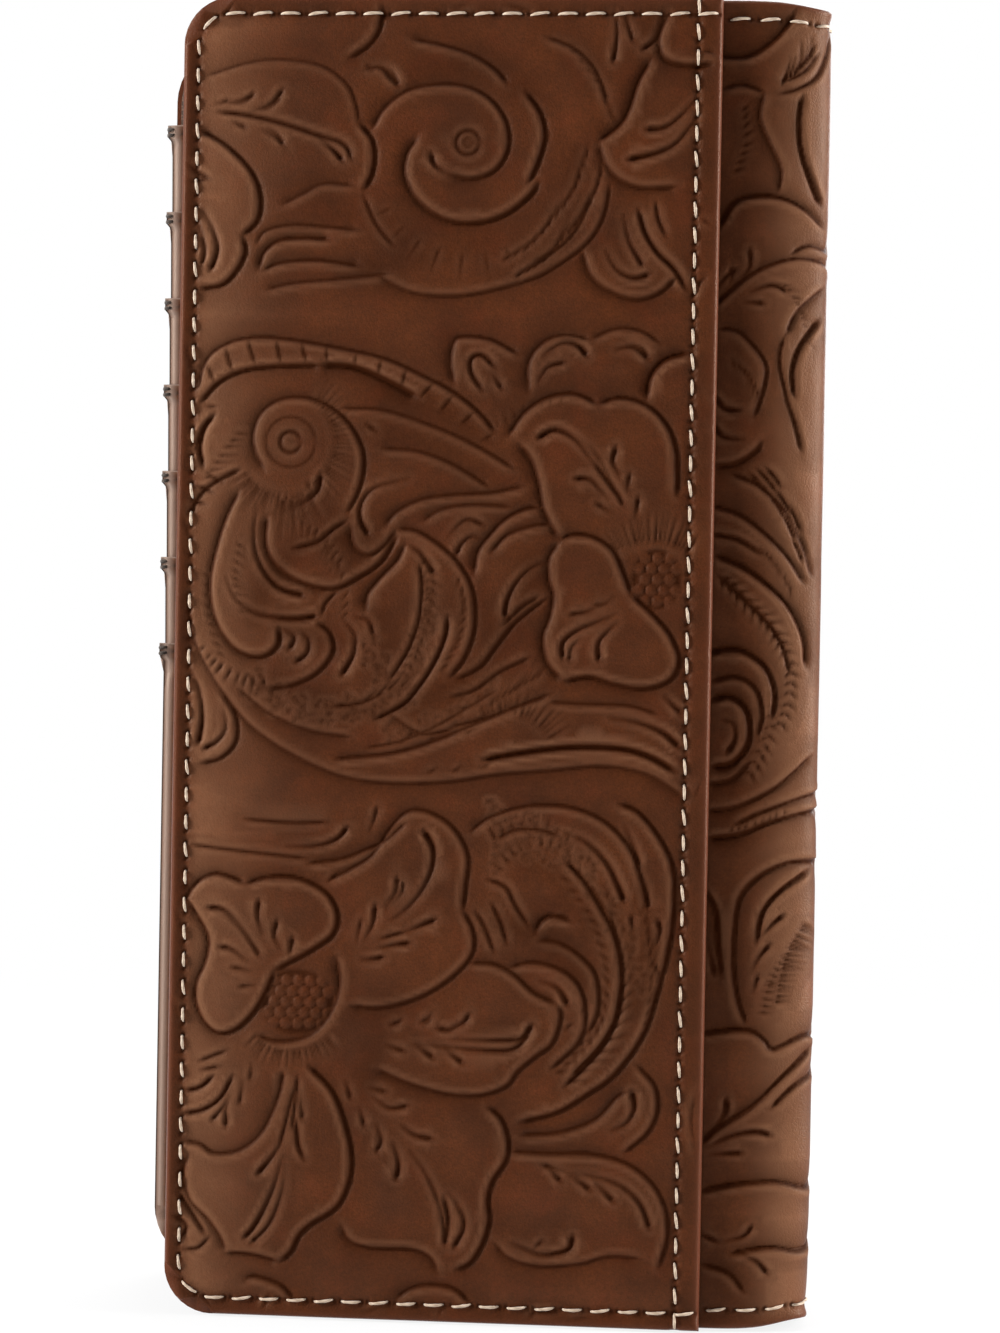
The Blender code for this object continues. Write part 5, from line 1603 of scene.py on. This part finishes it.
# Boards: grey-brown pressed board that stiffens both covers, hidden between leather and
# lining except at its edges.
kraft, tree, shader = new_material("board_kraft")
place = node(tree, "TexCoord").outputs["Object"]
fibres = fractal(tree, stretched(tree, place, (500, 2500, 900)), 1.0, 4.0)
flecks = maths(tree, "MULTIPLY", fibres, fractal(tree, place, 420.0, 2.0))
wire(
    tree, shader,
    Base_Color=blended(tree, flecks, (0.36, 0.28, 0.19, 1), (0.13, 0.10, 0.07, 1)),
    Roughness=scaled(tree, fibres, 0.15, 0.78),
    Normal=bumped(tree, fibres, 0.05, 0.7),
)
for name in ("back_board", "front_cover_board"):
    for place in bpy.data.objects[name].material_slots:
        place.material = kraft


# Inner leather: thin smooth calf in the same brown, its raw cut edges pale. The front panel
# carries the zip's window, and two slip pockets for cheques and receipts are laid on it.
inner_leather = leather_material(
    "inner_leather_brown",
    pale=(0.113, 0.0375, 0.0150, 1),
    deep=(0.090, 0.0290, 0.0115, 1),
    stain=(0.0110, 0.0050, 0.0030, 1),
    edge=(0.36, 0.265, 0.215, 1),
    fineness=2.6,
    grain_depth=0.035,
    gloss=0.40,
)
ZIP_X, WINDOW_HALF, WINDOW_END, WINDOW_CORNER = 74.0, 6.4, 6.0, 2.1
PANEL_FACE, CHEQUE_FACE, RECEIPT_FACE = 18.9, 19.8, 20.9
CHEQUE_MOUTH, RECEIPT_MOUTH, PANEL_LEFT, PANEL_RIGHT = 62.0, 48.0, 1, 86.0
CREASE_INSET, MOUTH_ROW, ZIP_ROW = 1.1, 2.2, 1.5
SIDE_STITCH, MOUTH_STITCH, INNER_HOLE, HOLE_WIDTH = (2.2, 0.45), (2.1, 0.45), 1.1, 0.4
window_outline = (
    ZIP_X - WINDOW_HALF, ZIP_X + WINDOW_HALF, WINDOW_END, LENGTH - WINDOW_END, WINDOW_CORNER, WINDOW_CORNER
)


def crease(off, width=0.28, deep=0.13):
    """A line creased into leather with a warm iron, off away from here."""
    return deep * bell(off, width)


def on_front(across, up, height):
    """On whatever lies uppermost on the front panel."""
    face = np.where(across < CHEQUE_MOUTH, CHEQUE_FACE, PANEL_FACE)
    face = np.where(across < RECEIPT_MOUTH, RECEIPT_FACE, face)
    return columns(across, face - 0.12 + height, up)


side_stitches = spaced(
    round_row(
        PANEL_RIGHT - 3, PANEL_LEFT + LAYER_CORNER, INNER_LOW + MOUTH_ROW, INNER_HIGH - MOUTH_ROW,
        LAYER_CORNER - MOUTH_ROW, -1,
    ),
    3.4,
)
window_top = LENGTH - WINDOW_END + ZIP_ROW
window_stitches = joined(
    spaced([(x, window_top), (x, LENGTH - window_top)], 3.2)
    for x in (ZIP_X - WINDOW_HALF - ZIP_ROW, ZIP_X + WINDOW_HALF + ZIP_ROW)
)
cheque_stitches, receipt_stitches = (
    spaced([(mouth - MOUTH_ROW, INNER_HIGH - 4.2), (mouth - MOUTH_ROW, INNER_LOW + 4.2)], 3.3)
    for mouth in (CHEQUE_MOUTH, RECEIPT_MOUTH)
)
front_rows = (side_stitches, window_stitches, cheque_stitches, receipt_stitches)
front_holes = np.vstack([holes_of(row, INNER_HOLE) for row in front_rows])


def front_piece(name, node_name, right, face_y, thick, window=False):
    """One layer of the front panel: creased along its mouth, pricked for the stitches."""
    outline = (PANEL_LEFT, right, INNER_LOW, INNER_HIGH, LAYER_CORNER, 0)
    blank = cut_blank(name, outline, thick, rim=0.32)

    def to_window(across, up):
        return -edge_distance(across, up, window_outline)

    def detail(across, up):
        near = np.abs(right - across - CREASE_INSET) - 0.2
        near = np.minimum(near, hole_distance(across, up, front_holes) - 0.2)
        return np.minimum(near, np.abs(to_window(across, up)) - 0.4) if window else near

    refine(blank, detail, (2.0, 0.9))
    if window:
        cutter = cut_blank("window_cutter", window_outline, 4, cell=20)
        cutter.location.z = 2
        only(blank)
        cut = blank.modifiers.new("window", "BOOLEAN")
        cut.operation, cut.solver, cut.object = "DIFFERENCE", "EXACT", cutter
        bpy.ops.object.modifier_apply(modifier="window")
        bpy.data.objects.remove(cutter)

    def drop(across, up):
        inside = edge_distance(across, up, outline)
        lowered = round_over(inside, 0.35) + crease(right - across - CREASE_INSET)
        lowered += 0.10 * bell(hole_distance(across, up, front_holes), HOLE_WIDTH)
        lowered += 0.08 * bell(inside - MOUTH_ROW, 1.0) + 0.05 * (1 + ripple(across, up, 20, face_y))
        if window:
            off = to_window(across, up)
            lowered += round_over(off, 0.35) + crease(off - 0.75, 0.22, 0.1)
        return np.clip(lowered, 0, thick * 0.75)

    def stain(across, up):
        # Painted shade in the awl holes; darker along the ironed crease.
        dark = bell(hole_distance(across, up, front_holes), 0.45) * 0.85
        return np.maximum(dark, 4 * crease(right - across - CREASE_INSET))

    def edge(across, up):
        bare = edge_distance(across, up, outline)
        return bell(np.minimum(bare, to_window(across, up)) if window else bare, 0.25)

    lay_in_place(blank, face_y, 1, thick, drop=drop, stain=stain, edge=edge)
    fitted(blank, inner_leather, "inner_leather", "wallet_body", node_name)


front_piece("front_panel_leather", "front_panel", PANEL_RIGHT, PANEL_FACE, 0.9, window=True)
front_piece("cheque_pocket_leather", "cheque_pocket", CHEQUE_MOUTH, CHEQUE_FACE, 0.6)
front_piece("receipt_pocket_leather", "receipt_pocket", RECEIPT_MOUTH, RECEIPT_FACE, 0.8)
for name, stitches, size in (
    ("front_panel_side_stitching", side_stitches, SIDE_STITCH),
    ("front_panel_window_stitching", window_stitches, MOUTH_STITCH),
    ("cheque_pocket_stitching", cheque_stitches, MOUTH_STITCH),
    ("receipt_pocket_stitching", receipt_stitches, MOUTH_STITCH),
):
    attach(sew(name, stitches, size, on_front), "wallet_body")


# Card slots: six strips and a lower panel of the same leather on the inside of the front
# cover. Each mouth is a folded hem sewn with one row, and each foot tucks behind the next.
SLOT_PITCH, LOWEST_MOUTH, SLOT_HEIGHT = 13.2, 96.8, 16.5
SLOT_FACE, SLOT_LEAN, SLOT_THICK = 21.8, 0.9 / SLOT_PITCH, 0.6
SLOT_RIGHT, HEM, HEM_REACH, HEM_ROW_DROP = 82.0, 2.3, 0.7, 1.25
SLOT_STITCH, TICK, SLOT_HOLE = (1.6, 0.42), (1.25, 0.55), 0.85
hem_end = FRONT_EDGE - HEM_REACH
mouths = [LOWEST_MOUTH + SLOT_PITCH * n for n in range(6, -1, -1)]


def slot_face(up):
    """How far back the uppermost strip's face lies, at a height on the ladder."""
    over = np.min([np.where(m >= up - 1e-6, m, 1e3) for m in mouths], axis=0)
    return SLOT_FACE + np.where(over > LOWEST_MOUTH, SLOT_LEAN * (over - up), 0)


def on_slots(across, up, height):
    return columns(across, slot_face(up) + 0.1 - height, up)


def round_hem(across, up, height):
    """A thread that goes over the hem's outer edge."""
    run = across - hem_end
    x = np.where(run > 0, across, hem_end - 0.02 - height * 0.7)
    y = slot_face(up) + 0.1 - height * (run > -0.2) + np.clip(-run, 0, 0.55)
    return columns(np.maximum(x, hem_end - 0.3), y, up)


# The ticks over each hem's outer edge are drawn in a dark thread.
dark_tick_thread = thread_material("thread_ticks_dark", (0.020, 0.013, 0.009, 1), (0.075, 0.050, 0.034, 1))
hem_rows = [
    spaced([(FRONT_EDGE + 1.2, up), (SLOT_RIGHT - 0.8, up)], 3.3)
    for up in [mouth - HEM_ROW_DROP for mouth in mouths]
]
slot_ends = spaced([(SLOT_RIGHT - 2.2, INNER_HIGH - 13.5), (SLOT_RIGHT - 2.2, INNER_LOW + 1.2)], 3.3)
slot_edge_row = spaced(
    [(FRONT_EDGE + 2.2, mouths[0] - 0.6)]
    + around((FRONT_EDGE + LINING_CORNER, INNER_LOW + LINING_CORNER), 6.8, 180, 270)
    + [(SLOT_RIGHT - 3.4, INNER_LOW + 2.2)],
    3.4,
)
slot_holes = np.vstack(
    [holes_of(row, SLOT_HOLE) for row in hem_rows]
    + [holes_of(row, INNER_HOLE) for row in (slot_ends, slot_edge_row)]
)

for n, mouth in enumerate(mouths):
    last = n == len(mouths) - 1
    low = INNER_LOW if last else mouth - SLOT_HEIGHT
    name = "lower_card_panel" if last else f"card_slot_{n + 1}"
    outline = (FRONT_EDGE, SLOT_RIGHT, low, mouth, LINING_CORNER if last else 0, 0)
    blank = cut_blank(f"{name}_leather", outline, SLOT_THICK, cell=2.2, rim=0.3, ends=(-1,))

    def slot_detail(across, up):
        near = np.minimum(hole_distance(across, up, slot_holes) - 0.2, np.abs(mouth - up - HEM) - 0.2)
        return np.minimum(near, np.abs(across - FRONT_EDGE) - 0.4)

    refine(blank, slot_detail, (2.0, 0.9))

    def slot_drop(across, up):
        hem = share_of((up - mouth + HEM + 0.2) / 0.4)
        hollow = 0.1 * bell(hole_distance(across, up, slot_holes), HOLE_WIDTH)
        hollow = hollow + 0.1 * bell(mouth - up - HEM_ROW_DROP, 0.6)
        hollow = hollow + crease(mouth - up - HEM - 0.7, 0.3, 0.1)
        edges = round_over(edge_distance(across, up, outline), 0.25) + round_over(across - FRONT_EDGE, 1.1)
        return np.clip(edges + hollow - 0.1 * hem, -0.12, 0.5)

    def slot_lean(across, up):
        return (0.0 if last else SLOT_LEAN) * (mouth - up) + 0.04 * ripple(across, up, 14, n + 0.5)

    def hem_reach(across, up):
        """How far the hem stands out past the cover's edge."""
        in_hem = share_of((up - mouth + HEM + 0.15) / 0.3)
        return -HEM_REACH * in_hem * share_of((FRONT_EDGE + 2.4 - across) / 2.4)

    def slot_stain(across, up):
        # Painted shade in the awl holes and at the hem's two corners by the outer edge; darker in a line
        # just below the hem and along the outer edge itself.
        dark = bell(hole_distance(across, up, slot_holes), 0.45) * 0.85
        dark = np.maximum(dark, 0.45 * bell(mouth - up - HEM - 0.25, 0.35))
        in_hem = (np.abs(mouth - up - HEM) < 0.45) | (mouth - up < 0.4)
        dark = np.maximum(dark, np.where(in_hem, bell(across - FRONT_EDGE, 0.9), 0))
        return np.maximum(dark, bell(across - FRONT_EDGE, 0.34) * 0.95)

    def slot_edge_and_highlight(across, up):
        # Pale along the mouth, and a painted highlight on the rounded outer edge.
        return np.maximum(bell(across - FRONT_EDGE - 0.85, 0.5) * 0.75, bell(mouth - up, 0.2) * 0.8)

    lay_in_place(
        blank, SLOT_FACE, -1, SLOT_THICK,
        drop=slot_drop, lean=slot_lean, stain=slot_stain, edge=slot_edge_and_highlight, shift=hem_reach,
    )
    fitted(blank, inner_leather, "inner_leather", "front_cover", name)
    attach(sew(f"{name}_hem_stitching", hem_rows[n], SLOT_STITCH, on_slots), "front_cover")
    ticks = (np.array([(hem_end + 0.5, mouth - drop) for drop in (0.7, 1.55)]), np.array([(1.0, 0.0)] * 2))
    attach(sew(f"{name}_hem_ticks", ticks, TICK, round_hem, -0.05, dark_tick_thread), "front_cover")

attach(sew("card_slot_side_stitching", slot_ends, SIDE_STITCH, on_slots, 0.02), "front_cover")
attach(sew("card_slot_edge_stitching", slot_edge_row, SIDE_STITCH, on_slots, 0.02), "front_cover")


# The zip: two woven tapes with a corded edge, sewn behind the window. It is drawn undone,
# so the rows mesh only at the closed end and lie parted along the window.
zip_tape = cloth_material(
    "zip_tape_brown", (0.088, 0.047, 0.029, 1), (0.064, 0.034, 0.022, 1),
    threads=2.8, repeat=4, relief=0.07,
)
TAPE_FACE, TAPE_BACK, ZIP_MIDDLE, TAPE_REACH, TAPE_THICK = 17.7, 17.3, 17.5, 12.2, 0.4
TOOTH_PITCH, TOOTH_LENGTH, ROW_WIDTH, ROW_FROM = 2.6, 1.5, 2.3, 11.0
MESHED_TO, PARTING, OVERLAP, PARTED = 15.0, 9.0, 0.5, 2.7


def row_tip(up):
    """Distance from the zip's middle line to a tooth's tip."""
    run = share_of((np.asarray(up, float) - MESHED_TO) / PARTING)
    return -OVERLAP + PARTED * run * run * (3 - 2 * run)


for side, word in ((-1, "fore"), (1, "spine")):
    blank = cut_blank(f"zip_tape_{word}_woven", (0, 1, 3, 187, 0, 0), TAPE_THICK, cell=1.0)
    edit_mode(blank)
    for share in np.linspace(0.08, 0.92, 8):
        bisect((share, 0, 0), (1, 0, 0))
    object_mode()
    share, up, height = points_of(blank).T
    inner = row_tip(up) + ROW_WIDTH + 0.3
    off = inner + (TAPE_REACH - inner) * share
    height = np.where(height > -TAPE_THICK / 2, TAPE_FACE, TAPE_BACK) + 0.04 * ripple(off * 2, up, 16, 9.0)
    put_on_wallet(blank, columns(ZIP_X + side * off, height, up))
    if side > 0:
        blank.data.flip_normals()
    set_values(blank, columns(off, up, height))
    smooth(blank)
    fitted(blank, zip_tape, "zip_tape", "wallet_body", f"zip_tape_{word}")


# Antique brass: yellow metal with a patchy brown patina and fine scratches.
# The teeth are cast round the tapes' cords, and the stops, the slider and the pull are cast too.
brass, tree, shader = new_material("antique_brass")
place = node(tree, "TexCoord").outputs["Object"]
patina = fractal(tree, place, 420.0, 5.0, 0.65)
scratches = fractal(tree, stretched(tree, place, (900, 900, 6000)), 1.0, 2.0)
aged = ranged(tree, patina, 0.38, 0.66)
wire(
    tree, shader,
    Base_Color=blended(tree, aged, (0.52, 0.35, 0.155, 1), (0.22, 0.135, 0.062, 1)),
    Roughness=scaled(tree, aged, 0.22, scaled(tree, scratches, 0.16, 0.2)),
    Metallic=1.0,
    Normal=bumped(tree, maths(tree, "ADD", patina, scratches), 0.015, 0.6),
)


def cast_edges(made, width, segments, degrees=30):
    """Rounds a piece's edges as cast metal's are."""
    rounding = made.modifiers.new("cast edge", "BEVEL")
    rounding.width, rounding.segments, rounding.limit_method = width, segments, "ANGLE"
    rounding.angle_limit = math.radians(degrees)
    only(made)
    bpy.ops.object.modifier_apply(modifier="cast edge")


def one_tooth():
    """A cast tooth pointing along -x: a narrow tip, a head, a waist and a broad foot, with its
    edges rounded."""
    bpy.ops.object.select_all(action="DESELECT")
    bpy.ops.mesh.primitive_cube_add(size=1, location=(0, 0, 0))
    block = bpy.context.object
    block.scale = (TOOTH_LENGTH, 1.8, 1.0)
    bpy.ops.object.transform_apply(location=True, rotation=True, scale=True)
    edit_mode(block)
    for x in (-0.35, 0.15):
        bisect((x, 0, 0), (1, 0, 0))
    object_mode()
    shape = points_of(block)
    parts = [shape[:, 0] < limit for limit in (-0.7, -0.3, 0.2)]
    shape[:, 2] *= np.select(parts, [0.72, 0.86, 0.66], 1.0)
    shape[:, 1] *= np.select(parts, [0.74, 0.92, 0.84], 1.0)
    put_points(block, shape)
    cast_edges(block, 0.14, 1)
    return taken_shape(block)


tooth, tooth_faces = one_tooth()
TOOTH_HEIGHT, CORD_STEP, CORD_SIDES = 1.0, 1.3, 8
count = int((LENGTH - 8 - ROW_FROM - TOOTH_HEIGHT - TOOTH_PITCH / 2) / TOOTH_PITCH) + 1
for side, word, offset in ((-1, "fore", 0.0), (1, "spine", TOOTH_PITCH / 2)):
    points, faces = [], []
    for n in range(count):
        up = ROW_FROM + TOOTH_HEIGHT / 2 + offset + n * TOOTH_PITCH
        middle = float(row_tip(up)) + TOOTH_LENGTH / 2
        lean = float(row_tip(up + 0.5) - row_tip(up - 0.5))
        z = up + tooth[:, 2] - tooth[:, 0] * lean * 0.5
        points.append(columns(ZIP_X + side * (middle + tooth[:, 0]), ZIP_MIDDLE + tooth[:, 1], z))
        faces += [tuple(v + n * len(tooth) for v in face) for face in tooth_faces]
    low, high = ROW_FROM + offset, ROW_FROM + offset + (count - 1) * TOOTH_PITCH + TOOTH_HEIGHT
    marks = np.concatenate([[low], np.arange(low + 1, high - 0.5, CORD_STEP), [high]])
    first = count * len(tooth)
    ring = [math.radians(45 * k) for k in range(CORD_SIDES)]
    for z in marks:
        x = float(row_tip(z)) + TOOTH_LENGTH + 0.38
        cord = [(ZIP_X + side * (x + 0.42 * math.cos(t)), ZIP_MIDDLE + 0.5 * math.sin(t), z) for t in ring]
        points.append(np.array(cord))
    for n in range(first, first + CORD_SIDES * (len(marks) - 1), CORD_SIDES):
        for a, b in zip(range(CORD_SIDES), [*range(1, CORD_SIDES), 0]):
            faces.append((n + a, n + b, n + b + CORD_SIDES, n + a + CORD_SIDES))
    last = first + CORD_SIDES * (len(marks) - 1)
    faces += [tuple(range(start, start + CORD_SIDES)) for start in (first, last)]
    row = new_piece(f"zip_teeth_{word}_cast", points, faces, points)
    smooth(row, 35)
    row.data.materials.append(zip_tape)
    row.data.materials.append(brass)
    kinds = np.zeros(len(row.data.polygons), int)
    kinds[: count * len(tooth_faces)] = 1
    row.data.polygons.foreach_set("material_index", kinds)
    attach(row, "wallet_body")
    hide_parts(f"zip_teeth_{word}")

# Each fitting has the CAD's shape. The last number is its share of the thickness, so that the
# slider clears the top stops.
for name, body, width, slim in (
    ("zip_bottom_stop", "wallet_body", 0.3, 1.0),
    ("zip_top_stop_fore", "wallet_body", 0.3, 0.84),
    ("zip_top_stop_spine", "wallet_body", 0.3, 0.84),
    ("zip_slider", "slider", 0.2, 1.0),
    ("zip_pull", "pull", 0.2, 1.0),
):
    made = bpy.data.objects.new(f"{name}_cast", bpy.data.objects[name].data.copy())
    bpy.context.collection.objects.link(made)
    made.data.materials.clear()
    edit_mode(made)
    bpy.ops.mesh.remove_doubles(threshold=0.000002)
    bpy.ops.mesh.dissolve_limited(angle_limit=math.radians(2))
    bpy.ops.mesh.normals_make_consistent(inside=False)
    object_mode()
    cast_edges(made, width * MM, 2, 40)
    middle = (ZIP_MIDDLE + CORNER[1]) * MM
    put_points(made, points_of(made) * (1, slim, 1) + (0, middle * (1 - slim), 0))
    smooth(made, 40)
    fitted(made, brass, "antique_brass", body, name)
